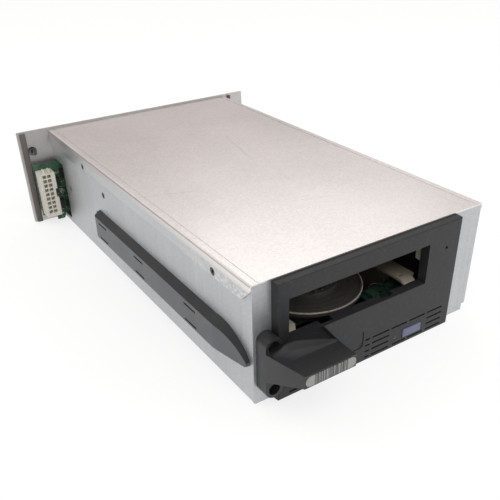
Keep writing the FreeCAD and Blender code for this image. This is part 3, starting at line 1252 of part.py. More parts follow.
# ---------------------------------------------------------------- power converter behind the drive
def build_converter():
    top = CONVERTER_LOW + S.board_wall
    board = new_body("converter_board")
    pad(board, "XY", CONVERTER_LOW, top, rect(-84, 8, CONVERTER_FRONT, CONVERTER_REAR))
    pocket(board, "XY", CONVERTER_LOW - 1, top + 1, *[disc(x, y, S.screw_radius) for x, y in CONVERTER_SCREWS])
    keep("converter_board", board)
    sink = new_body("converter_heatsink")
    left, fins, pitch, fin, crown = -77.0, 5, 6.0, 2.0, 42.0
    comb = [(left, top), (left + fins * pitch + fin, top)]
    for i in range(fins, -1, -1):
        edge = left + i * pitch
        comb += [(edge + fin, crown), (edge, crown)]
        if i:
            comb += [(edge, top + 4), (edge - pitch + fin, top + 4)]
    pad(sink, "XZ", CONVERTER_FRONT + 12, CONVERTER_REAR - 12, outline(*comb))
    keep("converter_heatsink", sink)
    cans = []
    depth = CONVERTER_REAR - CONVERTER_FRONT
    radius = depth / 10
    for i, share in enumerate((0.2, 0.45, 0.7)):
        can = new_body(f"capacitor_{i}", -32, CONVERTER_FRONT + depth * share, top)
        revolve(can, outline((0, 0), (radius, 0), (radius, 24.4), (radius - 0.6, 25), (0, 25)))
        cans.append(can)
    group("converter_capacitors", cans)


build_converter()


# ---------------------------------------------------------------- check and write
doc.recompute()
for thing in doc.Objects:
    if {"Invalid", "Error"} & set(thing.State):
        raise RuntimeError(f"{thing.Label} failed: {thing.State}")
os.makedirs("parts", exist_ok=True)
for label, thing in PARTS.items():
    shape = thing.Shape
    if shape.isNull() or not shape.isValid() or not shape.Solids:
        raise RuntimeError(f"{label} has no valid solid")
    shape.exportStep(f"parts/{label}.step")
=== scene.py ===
"""Looks for the library data tape drive: materials, small parts, floor, light and camera.

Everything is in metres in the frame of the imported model: +Z up, +Y towards the rear plate,
the origin in the middle of the tray's underside.
"""

import math

import bmesh
import bpy
from mathutils import Matrix, Vector


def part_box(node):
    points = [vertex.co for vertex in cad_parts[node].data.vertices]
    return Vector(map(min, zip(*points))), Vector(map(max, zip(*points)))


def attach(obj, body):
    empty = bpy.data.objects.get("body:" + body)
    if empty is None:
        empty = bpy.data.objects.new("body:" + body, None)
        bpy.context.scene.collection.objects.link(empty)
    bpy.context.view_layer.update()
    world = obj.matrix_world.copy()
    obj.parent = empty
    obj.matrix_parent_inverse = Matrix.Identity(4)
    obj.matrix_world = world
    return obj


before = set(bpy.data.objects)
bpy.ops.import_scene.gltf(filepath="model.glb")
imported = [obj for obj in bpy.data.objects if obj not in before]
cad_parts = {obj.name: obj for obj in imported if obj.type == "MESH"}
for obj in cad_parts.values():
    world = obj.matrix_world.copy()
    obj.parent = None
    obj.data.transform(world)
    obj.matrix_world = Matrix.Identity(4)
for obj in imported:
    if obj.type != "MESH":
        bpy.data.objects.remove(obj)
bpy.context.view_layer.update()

MM = 0.001
DEG = math.pi / 180
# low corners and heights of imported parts, which tones and new pieces start from
TRAY_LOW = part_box("tray_base")[0]
LOADER_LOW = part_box("loader_board")[0]
INTERFACE_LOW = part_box("interface_board")[0]
COVER_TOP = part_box("top_cover")[1].z
BOARD_THICKNESS = 1.6 * MM


def scaled(colour, amount):
    """The colour times a number, held under white."""
    return tuple(min(1.0, c * amount) for c in colour)


# ---------------------------------------------------------------- shader helpers
class Shader:
    """A material under construction, with short calls for the nodes used again and again."""

    def __init__(self, name):
        self.material = bpy.data.materials.new(name)
        self.material.use_nodes = True
        self.nodes = self.material.node_tree.nodes
        self.links = self.material.node_tree.links
        self.bsdf = self.nodes["Principled BSDF"]

    def add(self, kind, **settings):
        node = self.nodes.new(kind)
        for key, value in settings.items():
            setattr(node, key, value)
        return node

    def plug(self, source, target):
        self.links.new(source, target)

    def feed(self, socket, value):
        """Give a socket either a link or a plain value."""
        if isinstance(value, bpy.types.NodeSocket):
            self.plug(value, socket)
        else:
            socket.default_value = value

    def place(self, stretch=(1, 1, 1), turn=0.0):
        """Coordinates in metres in the model's frame, turned about Z and scaled along each axis."""
        where = self.add("ShaderNodeTexCoord")
        scale = self.add("ShaderNodeMapping", vector_type="TEXTURE" if turn else "POINT")
        scale.inputs["Scale"].default_value = tuple(1 / c for c in stretch) if turn else stretch
        scale.inputs["Rotation"].default_value = (0, 0, turn)
        self.plug(where.outputs["Object"], scale.inputs["Vector"])
        return scale.outputs["Vector"]

    def noise(self, per_metre, detail=3.0, stretch=(1, 1, 1), roughness=0.55, turn=0.0):
        node = self.add("ShaderNodeTexNoise")
        node.inputs["Scale"].default_value = per_metre
        node.inputs["Detail"].default_value = detail
        node.inputs["Roughness"].default_value = roughness
        self.plug(self.place(stretch, turn), node.inputs["Vector"])
        return node.outputs["Fac"]

    def cells(self, per_metre, stretch=(1, 1, 1)):
        """Random grey of each cell of a crystal pattern."""
        node = self.add("ShaderNodeTexVoronoi")
        node.inputs["Scale"].default_value = per_metre
        self.plug(self.place(stretch), node.inputs["Vector"])
        grey = self.add("ShaderNodeSeparateColor")
        self.plug(node.outputs["Color"], grey.inputs["Color"])
        return grey.outputs["Red"]

    def spread(self, value, low, high, start=0.3, end=0.7):
        node = self.add("ShaderNodeMapRange", clamp=True)
        for name, number in (("From Min", start), ("From Max", end), ("To Min", low), ("To Max", high)):
            node.inputs[name].default_value = number
        self.feed(node.inputs["Value"], value)
        return node.outputs["Result"]

    def math(self, kind, first, second=0.0):
        node = self.add("ShaderNodeMath", operation=kind)
        self.feed(node.inputs[0], first)
        self.feed(node.inputs[1], second)
        return node.outputs["Value"]

    def mix(self, factor, first, second):
        node = self.add("ShaderNodeMix", data_type="RGBA")
        self.feed(node.inputs["Factor"], factor)
        for socket, colour in ((node.inputs["A"], first), (node.inputs["B"], second)):
            self.feed(socket, colour if isinstance(colour, bpy.types.NodeSocket) else (*colour, 1.0))
        return node.outputs["Result"]

    def weighted(self, *parts):
        """The sum of some values, each times its own weight."""
        total = None
        for value, weight in parts:
            term = self.math("MULTIPLY", value, weight)
            total = term if total is None else self.math("ADD", total, term)
        return total

    def shade(self, colour, factor, amount):
        """The colour made darker and lighter by a 0 to 1 factor."""
        return self.mix(factor, scaled(colour, 1 - amount), scaled(colour, 1 + amount))

    def edges(self, radius=0.5 * MM):
        """1 on sharp edges, 0 on flat faces."""
        bevel = self.add("ShaderNodeBevel", samples=4)
        bevel.inputs["Radius"].default_value = radius
        plain = self.add("ShaderNodeNewGeometry")
        dot = self.add("ShaderNodeVectorMath", operation="DOT_PRODUCT")
        self.plug(bevel.outputs["Normal"], dot.inputs[0])
        self.plug(plain.outputs["Normal"], dot.inputs[1])
        return self.spread(dot.outputs["Value"], 1.0, 0.0, 0.80, 0.99)

    def along(self, axis, start, end, low=0.0, high=1.0):
        """A number that runs from low to high between two places on an axis of the model."""
        where = self.add("ShaderNodeSeparateXYZ")
        self.plug(self.place(), where.inputs["Vector"])
        return self.spread(where.outputs[axis], low, high, start, end)

    def facing_up(self, start=0.5, end=0.9):
        """1 on faces that look up, 0 on the ones that stand on edge."""
        facing = self.add("ShaderNodeSeparateXYZ")
        self.plug(self.add("ShaderNodeNewGeometry").outputs["Normal"], facing.inputs["Vector"])
        return self.spread(facing.outputs["Z"], 0, 1, start, end)

    def bump(self, height, depth, strength=1.0):
        node = self.add("ShaderNodeBump")
        node.inputs["Strength"].default_value = strength
        node.inputs["Distance"].default_value = depth
        self.plug(height, node.inputs["Height"])
        self.plug(node.outputs["Normal"], self.bsdf.inputs["Normal"])

    def set(self, **values):
        for name, value in values.items():
            self.feed(self.bsdf.inputs[name.replace("_", " ").title().replace("Ior", "IOR")], value)
        return self


def sheet_metal(name, colour, *, tint=(1, 1, 1), speckle=0.06, brushing=None, roughness=0.42, wear=0.5,
                upright=None, scratches=0.0, metallic=0.82, relief=0.35, patchy=1.0):
    """Zinc-coated sheet: fine crystal speckle, drifting tone, rolling lines, scratches and bright worn edges.

    upright gives painted light for the faces that stand on edge, which are the same metal as the flat ones:
    the front and rear colour of the fold, a painted reflection at the front fading to painted shade at the
    rear, and the colour further down, with a speckled painted highlight near the front. patchy is how
    far the roughness drifts, and relief how deep the grain goes.
    """
    s = Shader(name)
    drift = s.noise(9, 3)
    fine = s.cells(900)
    grain = s.noise(2600, 2)
    tone = s.weighted((drift, 0.5), (fine, 0.22), (grain, 0.28))
    if brushing:
        tone = s.weighted((tone, 0.55), (s.noise(60, 4, brushing, 0.7), 0.2),
                          (s.noise(520, 3, brushing, 0.7), 0.25))
    speckles = s.spread(tone, 0, 1, 0.35, 0.62)
    pale = tuple(min(1.0, c * (1 + speckle) * t) for c, t in zip(colour, tint))
    base = s.mix(speckles, scaled(colour, 1 - speckle), pale)
    if upright:
        # painted light on the faces that stand on edge: lighter at the front, darker at the rear
        front, rear, below = upright
        fold_start, fold_end = COVER_TOP - 6 * MM, COVER_TOP - 3 * MM
        front_highlight_start, front_highlight_end = TRAY_LOW.y + 10 * MM, TRAY_LOW.y + 95 * MM
        # painted reflection at the fold near the front, fading to painted shade towards the rear
        fold = s.mix(s.along("Y", TRAY_LOW.y, TRAY_LOW.y + 200 * MM), front, rear)
        # speckled painted highlight on the lower faces near the front, fading out further back
        front_highlight = s.math("MULTIPLY", s.spread(s.cells(650), 0, 0.7, 0.35, 0.9),
                       s.along("Y", front_highlight_start, front_highlight_end, 1, 0))
        side = s.mix(front_highlight, s.shade(below, speckles, speckle), front)
        # the top faces keep the flat colour and the faces on edge take these painted tones, though both are
        # one metal
        base = s.mix(s.facing_up(), s.mix(s.along("Z", fold_start, fold_end), side, fold), base)
    if scratches:
        lengthwise = s.spread(s.noise(260, 1, (0.03, 1, 1), turn=-0.35), 0, 1, 0.735, 0.76)
        crosswise = s.spread(s.noise(300, 1, (1, 0.04, 1), turn=-0.2), 0, 1, 0.755, 0.78)
        marks = s.math("MAXIMUM", lengthwise, crosswise)
        base = s.mix(s.math("MULTIPLY", marks, scratches), base, scaled(colour, 0.62))
    rim = s.math("MULTIPLY", s.edges(), s.spread(s.noise(160, 3), 0.1, wear))
    polish = s.spread(tone, roughness - 0.06 * patchy, roughness + 0.08 * patchy, 0.3, 0.7)
    patches = s.spread(s.noise(23, 4), -0.05 * patchy, 0.06 * patchy)
    s.set(base_color=s.mix(rim, base, scaled(colour, 1.35)), metallic=metallic,
          roughness=s.math("ADD", polish, patches))
    s.bump(s.math("ADD", grain, fine), 0.02 * MM, relief)
    return s.material


def bare_metal(name, colour, *, roughness=0.3, metallic=1.0, spread=0.08, grain=700, stretch=(1, 1, 1)):
    """Machined, cast or plated metal with a fine grain."""
    s = Shader(name)
    grains = s.noise(grain, 4, stretch)
    s.set(base_color=s.shade(colour, s.spread(grains, 0, 1), spread), metallic=metallic,
          roughness=s.spread(s.noise(90, 3), roughness - 0.07, roughness + 0.08))
    s.bump(grains, 0.02 * MM, 0.3)
    return s.material


def moulded(name, colour, *, roughness=0.48, texture=0.03, worn=(0.30, 0.29, 0.28), wear=0.35, warm=(1, 1, 1),
             gloss=0.5, dusty=0.07, top=1.0, deep=1.0):
    """Moulded plastic: spark-eroded texture, slight tone drift, paler edges from wear, raised on the bracket
    into a painted highlight along its crest, and faint dust.

    top paints shade on the faces that look up, and deep paints shade on the parts far behind the window, each
    by a factor.
    """
    s = Shader(name)
    drift = s.noise(14, 3)
    skin = s.noise(3200, 2, roughness=0.6)
    pale = tuple(min(1.0, c * 1.07 * w) for c, w in zip(colour, warm))
    base = s.mix(s.spread(drift, 0, 1), scaled(colour, 0.93), pale)
    dust = s.spread(s.noise(420, 5), 0, dusty, 0.55, 0.8)
    base = s.mix(dust, base, tuple(min(1.0, c + 0.25) for c in colour))
    # painted shade on the faces that look up
    if top != 1:
        base = s.mix(s.facing_up(0.15, 0.45), base, scaled(colour, top))
    # painted shade on the parts far behind the window, darker towards the rear
    if deep != 1:
        shade_start, shade_end = TRAY_LOW.y + 6 * MM, TRAY_LOW.y + 26 * MM
        base = s.mix(s.along("Y", shade_start, shade_end), base, scaled(colour, deep))
    # paler edges: wear on most plastics, a painted highlight on the bracket's crest and edges
    rubbed_and_highlit = s.math("MULTIPLY", s.edges(0.45 * MM), s.spread(s.noise(120, 4), 0.0, wear, 0.35, 0.7))
    s.set(base_color=s.mix(rubbed_and_highlit, base, worn),
          roughness=s.math("ADD", s.spread(skin, roughness - 0.05, roughness + 0.07),
                           s.spread(s.noise(35, 3), -0.04, 0.05)))
    s.bsdf.inputs["Specular IOR Level"].default_value = gloss
    s.bump(skin, texture * MM, 0.5)
    return s.material


def circuit_board(name, plane, mask_colour, track_colour, pad_colour=(0.62, 0.60, 0.52)):
    """Green solder mask with copper tracks under it, bare pads and vias. plane names its two axes."""
    s = Shader(name)
    across, along = plane

    def tracks(per_metre, axis, start, end):
        """Noise drawn out into lines along one axis of the board."""
        stretch = [0.12 if letter == axis else 1 for letter in "xyz"]
        return s.spread(s.noise(per_metre, 1, stretch), 0, 1, start, end)

    copper = s.math("MAXIMUM", tracks(900, along, 0.52, 0.56), tracks(800, across, 0.55, 0.58))
    mask = s.mix(copper, mask_colour, track_colour)
    dots = s.add("ShaderNodeTexVoronoi")
    dots.inputs["Scale"].default_value = 330
    s.plug(s.place(), dots.inputs["Vector"])
    pads = s.spread(dots.outputs["Distance"], 1, 0, 0.16, 0.2)
    s.set(base_color=s.mix(pads, mask, pad_colour), roughness=s.spread(s.noise(200, 2), 0.28, 0.42),
          metallic=s.math("MULTIPLY", pads, 0.8))
    s.bump(copper, 0.03 * MM, 0.6)
    return s.material


def striped_label(name, low, high):
    """Film label: plain ends, and between them dark bars of random widths across its length."""
    s = Shader(name)
    where = s.add("ShaderNodeTexCoord")
    axes = s.add("ShaderNodeSeparateXYZ")
    s.plug(where.outputs["Object"], axes.inputs["Vector"])
    along = s.spread(axes.outputs["X"], 0, 1, low, high)
    bars = s.add("ShaderNodeTexNoise", noise_dimensions="1D")
    bars.inputs["Scale"].default_value = 40
    bars.inputs["Detail"].default_value = 2.0
    s.plug(along, bars.inputs["W"])
    dark = s.spread(bars.outputs["Fac"], 0, 1, 0.465, 0.475)
    inside = s.math("MULTIPLY", s.math("GREATER_THAN", along, 0.17), s.math("LESS_THAN", along, 0.83))
    paper = s.mix(s.noise(300, 3), (0.23, 0.225, 0.215), (0.30, 0.295, 0.28))
    s.set(base_color=s.mix(s.math("MULTIPLY", dark, inside), paper, (0.045, 0.045, 0.05)),
          roughness=s.spread(s.noise(500, 2), 0.3, 0.42))
    return s.material


def unlit_lens(name, colour):
    """Smoky clear plastic over a light that is off."""
    s = Shader(name)
    s.set(base_color=s.shade(colour, s.spread(s.noise(600, 2), 0, 1), 0.1),
          roughness=s.spread(s.noise(300, 2), 0.1, 0.2))
    s.bsdf.inputs["Transmission Weight"].default_value = 0.5
    return s.material


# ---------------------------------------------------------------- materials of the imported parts
TRAY = sheet_metal("tray_zinc", (0.51, 0.525, 0.54), speckle=0.13, brushing=(1, 1, 0.02), roughness=0.42)
# The cover's top faces are painted lighter than its faces on edge, which carry painted reflection and painted
# shade.
COVER = sheet_metal("cover_zinc", (0.88, 0.855, 0.845), tint=(1.01, 1.0, 0.99), speckle=0.08, roughness=0.29,
                    upright=((0.84, 0.80, 0.78), (0.46, 0.44, 0.44), (0.50, 0.51, 0.52)),
                    scratches=0.22, metallic=0.92, relief=0.04, patchy=0.15)
PLATE = sheet_metal("plate_zinc", (0.58, 0.57, 0.56), speckle=0.06, roughness=0.42)
LID = sheet_metal("lid_steel", (0.50, 0.50, 0.50), speckle=0.06, roughness=0.5)
CAST = bare_metal("die_cast", (0.12, 0.12, 0.122), roughness=0.55, metallic=0.7, spread=0.2, grain=900)
SCREW = bare_metal("plain_screw", (0.66, 0.65, 0.63), roughness=0.3)
BLACK_SCREW = bare_metal("black_screw", (0.035, 0.035, 0.038), roughness=0.35, metallic=0.5, spread=0.2)
FINS = bare_metal("fin_aluminium", (0.62, 0.63, 0.64), roughness=0.38, stretch=(1, 0.05, 1))
CAN = bare_metal("motor_can", (0.075, 0.075, 0.08), roughness=0.4, metallic=0.4)
# pale colour of the disc's rim ring, a painted highlight; the magnet shares it
BRIGHT = bare_metal("bright_rim", (0.80, 0.72, 0.63), roughness=0.30, metallic=0.3, spread=0.12)
BEZEL = moulded("bezel_plastic", (0.021, 0.0225, 0.025), roughness=0.44, worn=(0.085, 0.08, 0.077),
                warm=(1.05, 1.0, 0.96), gloss=0.33)
# top paints shade on the rail's faces that look up
RAIL = moulded("rail_plastic", (0.086, 0.094, 0.104), roughness=0.40, worn=(0.15, 0.15, 0.15), gloss=0.45,
               top=0.24)
# wear here paints a highlight along the bracket's crest and edges
BRACKET = moulded("bracket_plastic", (0.020, 0.021, 0.023), roughness=0.40, worn=(0.13, 0.12, 0.115),
                  wear=0.6, dusty=0.03)
BUTTON = moulded("button_plastic", (0.125, 0.130, 0.215), roughness=0.38, worn=(0.20, 0.20, 0.30))
# deep paints shade on the guides far behind the window
CREAM = moulded("cream_plastic", (0.40, 0.365, 0.29), roughness=0.45, worn=(0.52, 0.49, 0.42), wear=0.15,
                deep=0.28)
THUMB = bare_metal("thumbscrew_steel", (0.16, 0.155, 0.15), roughness=0.32, spread=0.2)
DARK = moulded("dark_plastic", (0.022, 0.022, 0.024), roughness=0.42, worn=(0.08, 0.08, 0.08))
DISC = moulded("disc_plastic", (0.068, 0.065, 0.058), roughness=0.36, worn=(0.12, 0.11, 0.10), wear=0.4)
REEL = moulded("reel_plastic", (0.50, 0.49, 0.47), roughness=0.35, worn=(0.62, 0.6, 0.58))
NYLON = moulded("connector_nylon", (0.70, 0.675, 0.61), roughness=0.38, worn=(0.8, 0.78, 0.74), wear=0.2)
SLEEVE = moulded("capacitor_sleeve", (0.03, 0.035, 0.07), roughness=0.25, worn=(0.2, 0.2, 0.25))
FOAM = moulded("gasket_foam", (0.135, 0.12, 0.112), roughness=0.9, texture=0.15, worn=(0.12, 0.11, 0.1))
CONTACT = bare_metal("contact_metal", (0.58, 0.47, 0.26), roughness=0.28)
FACE = bare_metal("head_face", (0.55, 0.55, 0.56), roughness=0.12)
BOARD_UPRIGHT = circuit_board("board_upright", "xz", (0.034, 0.088, 0.052), (0.060, 0.140, 0.080))
BOARD_FLAT = circuit_board("board_flat", "xy", (0.020, 0.048, 0.034), (0.034, 0.075, 0.052),
                           (0.14, 0.13, 0.11))
LENS = unlit_lens("light_lens", (0.07, 0.08, 0.07))
WIRE = bare_metal("spring_wire", (0.26, 0.25, 0.22), roughness=0.3, metallic=0.5)
CHIP = moulded("chip_epoxy", (0.018, 0.018, 0.020), roughness=0.5, worn=(0.05, 0.05, 0.05))
LABEL = striped_label("label_film", *(corner.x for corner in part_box("target_label")))

MATERIAL_OF = {
    TRAY: ["tray_base"], COVER: ["top_cover"], PLATE: ["rear_plate"], LID: ["drive_lid"],
    CAST: ["drive_chassis", "path_plate", "lift_plate", "head_frame"],
    SCREW: ["rail_screws", "rear_plate_screws", "board_screws", "chassis_screws", "fan_screws", "lift_pins",
            "roller_pins", "head_shafts", "head_leadscrew", "board_standoffs"],
    THUMB: ["left_thumbscrew", "right_thumbscrew", "screw_ferrules"],
    BLACK_SCREW: ["cover_screws", "bracket_screws"],
    FINS: ["converter_heatsink"], CAN: ["supply_motor", "takeup_motor", "head_motor"],
    BEZEL: ["front_bezel"], RAIL: ["left_rail", "right_rail"], BRACKET: ["target_bracket"],
    BUTTON: ["eject_button"], CREAM: ["left_guide", "right_guide"],
    DARK: ["lift_cam", "fan_frame", "fan_rotor", "eject_switch", "head_carriage", "data_ports"],
    DISC: ["supply_hub"],
    REEL: ["takeup_hub", "takeup_lower_flange", "takeup_upper_flange", "guide_roller_1", "guide_roller_2",
           "guide_roller_3", "guide_roller_4"],
    NYLON: ["power_connector"], CONTACT: ["connector_contacts"], FACE: ["tape_head"],
    BOARD_UPRIGHT: ["interface_board", "front_board"], BOARD_FLAT: ["loader_board", "converter_board"],
    FOAM: ["left_gasket", "right_gasket"], LENS: ["status_light"], SLEEVE: ["converter_capacitors"],
    LABEL: ["target_label"],
}


# ---------------------------------------------------------------- soft edges
def smooth_by_angle(angle):
    """A geometry group that shades smooth across shallow edges and keeps the others sharp."""
    group = bpy.data.node_groups.new("smooth_by_angle", "GeometryNodeTree")
    group.interface.new_socket("Geometry", in_out="INPUT", socket_type="NodeSocketGeometry")
    group.interface.new_socket("Geometry", in_out="OUTPUT", socket_type="NodeSocketGeometry")
    start, end = group.nodes.new("NodeGroupInput"), group.nodes.new("NodeGroupOutput")
    smooth = group.nodes.new("GeometryNodeSetShadeSmooth")
    sharp = group.nodes.new("GeometryNodeSetShadeSmooth")
    sharp.domain = "EDGE"
    edge_angle = group.nodes.new("GeometryNodeInputMeshEdgeAngle")
    shallow = group.nodes.new("FunctionNodeCompare")
    shallow.operation = "LESS_THAN"
    shallow.inputs["B"].default_value = angle
    group.links.new(edge_angle.outputs["Unsigned Angle"], shallow.inputs["A"])
    group.links.new(start.outputs[0], smooth.inputs["Geometry"])
    group.links.new(smooth.outputs["Geometry"], sharp.inputs["Geometry"])
    group.links.new(shallow.outputs["Result"], sharp.inputs["Shade Smooth"])
    group.links.new(sharp.outputs["Geometry"], end.inputs[0])
    return group


SMOOTH = smooth_by_angle(38 * DEG)


def soften(piece, width, segments=2):
    """Break the hard edges so that they catch the light. The mesh itself stays as it is."""
    weld = piece.modifiers.new("weld", "WELD")
    weld.merge_threshold = 1e-6
    if width:
        bevel = piece.modifiers.new("soft_edge", "BEVEL")
        bevel.width = width
        bevel.segments = segments
        bevel.limit_method = "ANGLE"
        bevel.angle_limit = 40 * DEG
        bevel.use_clamp_overlap = True
    shade = piece.modifiers.new("shade", "NODES")
    shade.node_group = SMOOTH
    even = piece.modifiers.new("even_faces", "WEIGHTED_NORMAL")
    even.keep_sharp = True


EDGE_WIDTH = {"front_bezel": 0.35, "target_bracket": 0.45, "left_rail": 0.45, "right_rail": 0.45,
              "power_connector": 0.2, "top_cover": 0.15, "tray_base": 0.12, "rear_plate": 0.12,
              "eject_button": 0.1, "left_guide": 0.35, "right_guide": 0.35, "target_label": 0.0,
              "connector_contacts": 0.0}

for material, names in MATERIAL_OF.items():
    for node in names:
        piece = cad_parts[node]
        piece.data.materials.clear()
        piece.data.materials.append(material)
        soften(piece, EDGE_WIDTH.get(node, 0.15) * MM)


# ---------------------------------------------------------------- new pieces
def add_piece(name, mesh, material, body, bevel):
    piece = bpy.data.objects.new(name, mesh)
    bpy.context.scene.collection.objects.link(piece)
    piece.data.materials.append(material)
    soften(piece, bevel)
    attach(piece, body)
    return piece


def from_bmesh(name, build):
    bm = bmesh.new()
    build(bm)
    mesh = bpy.data.meshes.new(name)
    bm.to_mesh(mesh)
    bm.free()
    return mesh


def add_block(bm, low, high):
    """A box between two corners."""
    low, high = Vector(low), Vector(high)
    made = bmesh.ops.create_cube(bm, size=1.0)
    size, middle = high - low, (low + high) / 2
    for v in made["verts"]:
        v.co = Vector((v.co.x * size.x, v.co.y * size.y, v.co.z * size.z)) + middle


def add_circles(bm, profile, centre, turn, steps):
    """A circle of points for each radius and height, about an axis through the centre."""
    angles = [2 * math.pi * i / steps for i in range(steps)]
    return [[bm.verts.new(turn @ Vector((radius * math.cos(a), radius * math.sin(a), height)) + centre)
             for a in angles] for radius, height in profile]


def join_circles(bm, circles):
    """A band of faces from each circle to the next."""
    for lower, upper in zip(circles, circles[1:]):
        steps = len(lower)
        for i in range(steps):
            bm.faces.new((lower[i], lower[(i + 1) % steps], upper[(i + 1) % steps], upper[i]))


def add_turned(bm, profile, centre, turn=Matrix(), steps=48):
    """A turned solid, closed at both ends."""
    circles = add_circles(bm, profile, centre, turn, steps)
    join_circles(bm, circles)
    bm.faces.new(list(reversed(circles[0])))
    bm.faces.new(circles[-1])


def add_ring(bm, outer, inner, low, high, centre, steps=96):
    """A flat ring with square section."""
    profile = ((outer, low), (outer, high), (inner, high), (inner, low))
    circles = add_circles(bm, profile, centre, Matrix(), steps)
    join_circles(bm, circles + circles[:1])


def hub_trim():
    """Pale rim ring, a painted highlight along the supply disc's edge, with the pressed rings and centre
    magnet of the disc.
    """
    low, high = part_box("supply_hub")
    axis = Vector(((low.x + high.x) / 2, (low.y + high.y) / 2, 0))
    edge = (high.x - low.x) / 2
    disc_top = high.z - 4.2 * MM
    magnet_foot = high.z - 2.5 * MM

    # a pale ring on the disc's edge, standing in as painted highlight
    def rim(bm):
        add_ring(bm, edge + 0.05 * MM, edge - 0.75 * MM, disc_top - 0.9 * MM, disc_top + 0.08 * MM, axis)

    def rings(bm):
        half_width = 0.25 * MM
        low, high = disc_top - 0.7 * MM, disc_top - 0.35 * MM
        for radius in (26 * MM, 31 * MM, 35 * MM):
            add_ring(bm, radius + half_width, radius - half_width, low, high, axis)

    def magnet(bm):
        add_ring(bm, 12.4 * MM, 6.5 * MM, magnet_foot, magnet_foot + 1.0 * MM, axis, 64)
        pin = [(2.6 * MM, 0), (2.6 * MM, 2.2 * MM), (1.6 * MM, 3.2 * MM)]
        add_turned(bm, pin, axis + Vector((0, 0, magnet_foot)), steps=32)

    for name, build, material, slot, bevel in (("disc_highlight_rim", rim, BRIGHT, "steel_screw", 0.2 * MM),
                                               ("disc_rings", rings, DISC, "dark_plastic", 0.1 * MM),
                                               ("disc_magnet", magnet, BRIGHT, "steel_screw", 0.15 * MM)):
        add_piece(name, from_bmesh(name, build), material, "supply_spindle", bevel)


def board_parts():
    """Chips and small parts on the boards that show. Each number is in mm from the board's low corner."""
    sunk = 0.05 * MM        # how deep the parts sit in the board

    def on_interface(places):
        def build(bm):
            for x, z, wide, tall, deep in places:
                near = INTERFACE_LOW + Vector((x, -deep, z)) * MM
                far = INTERFACE_LOW + Vector((x + wide, 0, z + tall)) * MM
                add_block(bm, near, far + Vector((0, sunk, 0)))
        return build

    def on_loader(bm):
        for x, y, wide, long, tall in ((12, 1, 7, 5, 1.6), (21, 1, 3, 2, 1.2), (26, 2.5, 4.5, 6.5, 2.2),
                                       (3.5, 1.5, 5.5, 3.6, 1.4), (13.5, 13, 2, 1.2, 0.8)):
            corner = LOADER_LOW + Vector((x, y, 0)) * MM + Vector((0, 0, BOARD_THICKNESS - sunk))
            add_block(bm, corner, corner + Vector((wide, long, tall)) * MM)

    dark = [(15.8, 33.4, 4.2, 8.0, 3.4), (15.6, 11.4, 5.0, 9.0, 4.2), (21.6, 39.9, 7.0, 9.0, 2.2),
            (22.9, 11.4, 6.5, 6.5, 1.6), (30.4, 21.4, 14.0, 14.0, 1.8), (64.4, 19.4, 20.0, 20.0, 2.0)]
    small = [(24.6 + 3.0 * i, 20.9 + 6.0 * (i % 3), 1.6, 0.9, 0.7) for i in range(12)]
    small += [(16.0 + 2.2 * i, 44.9, 1.0, 2.0, 0.8) for i in range(3)]
    for name, build, material, slot, bevel in (
            ("interface_chips", on_interface(dark), CHIP, "dark_plastic", 0.1 * MM),
            ("interface_small_parts", on_interface(small), SCREW, "steel_screw", 0.05 * MM),
            ("loader_chips", on_loader, CHIP, "dark_plastic", 0.1 * MM)):
        add_piece(name, from_bmesh(name, build), material, "chassis", bevel)


def side_hole_shade():
    """Dark discs just inside the round holes of the left side, painted shade that makes the holes read dark.
    """
    inside = 1.05 * MM      # the thickness of the tray's wall and a little air
    turn = Matrix.Rotation(90 * DEG, 4, "Y")

    def build(bm):
        # mm behind the tray's front, height and radius
        for behind, height, radius in ((235.5, 38.8, 2.3), (299.5, 38.5, 2.9), (214.5, 61.5, 2.9)):
            profile = [(radius * MM, 0), (radius * MM, 0.4 * MM), (radius * 0.5 * MM, 0.7 * MM)]
            place = TRAY_LOW + Vector((0, behind, height)) * MM + Vector((inside, 0, 0))
            add_turned(bm, profile, place, turn, 24)

    add_piece("side_hole_shade", from_bmesh("side_hole_shade", build), CHIP, "chassis", 0.0)


def loader_springs():
    """Two thin wire springs over the loader board.

    Their points are in mm from the board's low corner and its upper face, and were read from the photo.
    """
    board = LOADER_LOW + Vector((0, 0, BOARD_THICKNESS))

    def wire(name, points):
        curve = bpy.data.curves.new(name, "CURVE")
        curve.dimensions = "3D"
        curve.bevel_depth = 0.22 * MM
        curve.bevel_resolution = 3
        line = curve.splines.new("NURBS")
        line.points.add(len(points) - 1)
        for point, place in zip(line.points, points):
            point.co = (*(board + Vector(place) * MM), 1)
        line.order_u, line.use_endpoint_u = 3, True
        thing = bpy.data.objects.new(name, curve)
        bpy.context.scene.collection.objects.link(thing)
        curve.materials.append(WIRE)
        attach(thing, "chassis")

    wire("latch_spring", [(3.0, 16.0, -0.2), (4.5, 15.6, 1.0), (7.0, 15.6, 1.2), (10.0, 15.8, 0.9),
                          (11.0, 15.0, -0.2)])
    wire("return_spring", [(12.0, 23.0, -0.2), (13.5, 23.6, 1.0), (17.0, 24.0, 1.2), (20.5, 20.5, 1.2),
                           (21.5, 17.5, 1.0), (24.0, 15.4, -0.2)])


hub_trim()
side_hole_shade()
loader_springs()
board_parts()


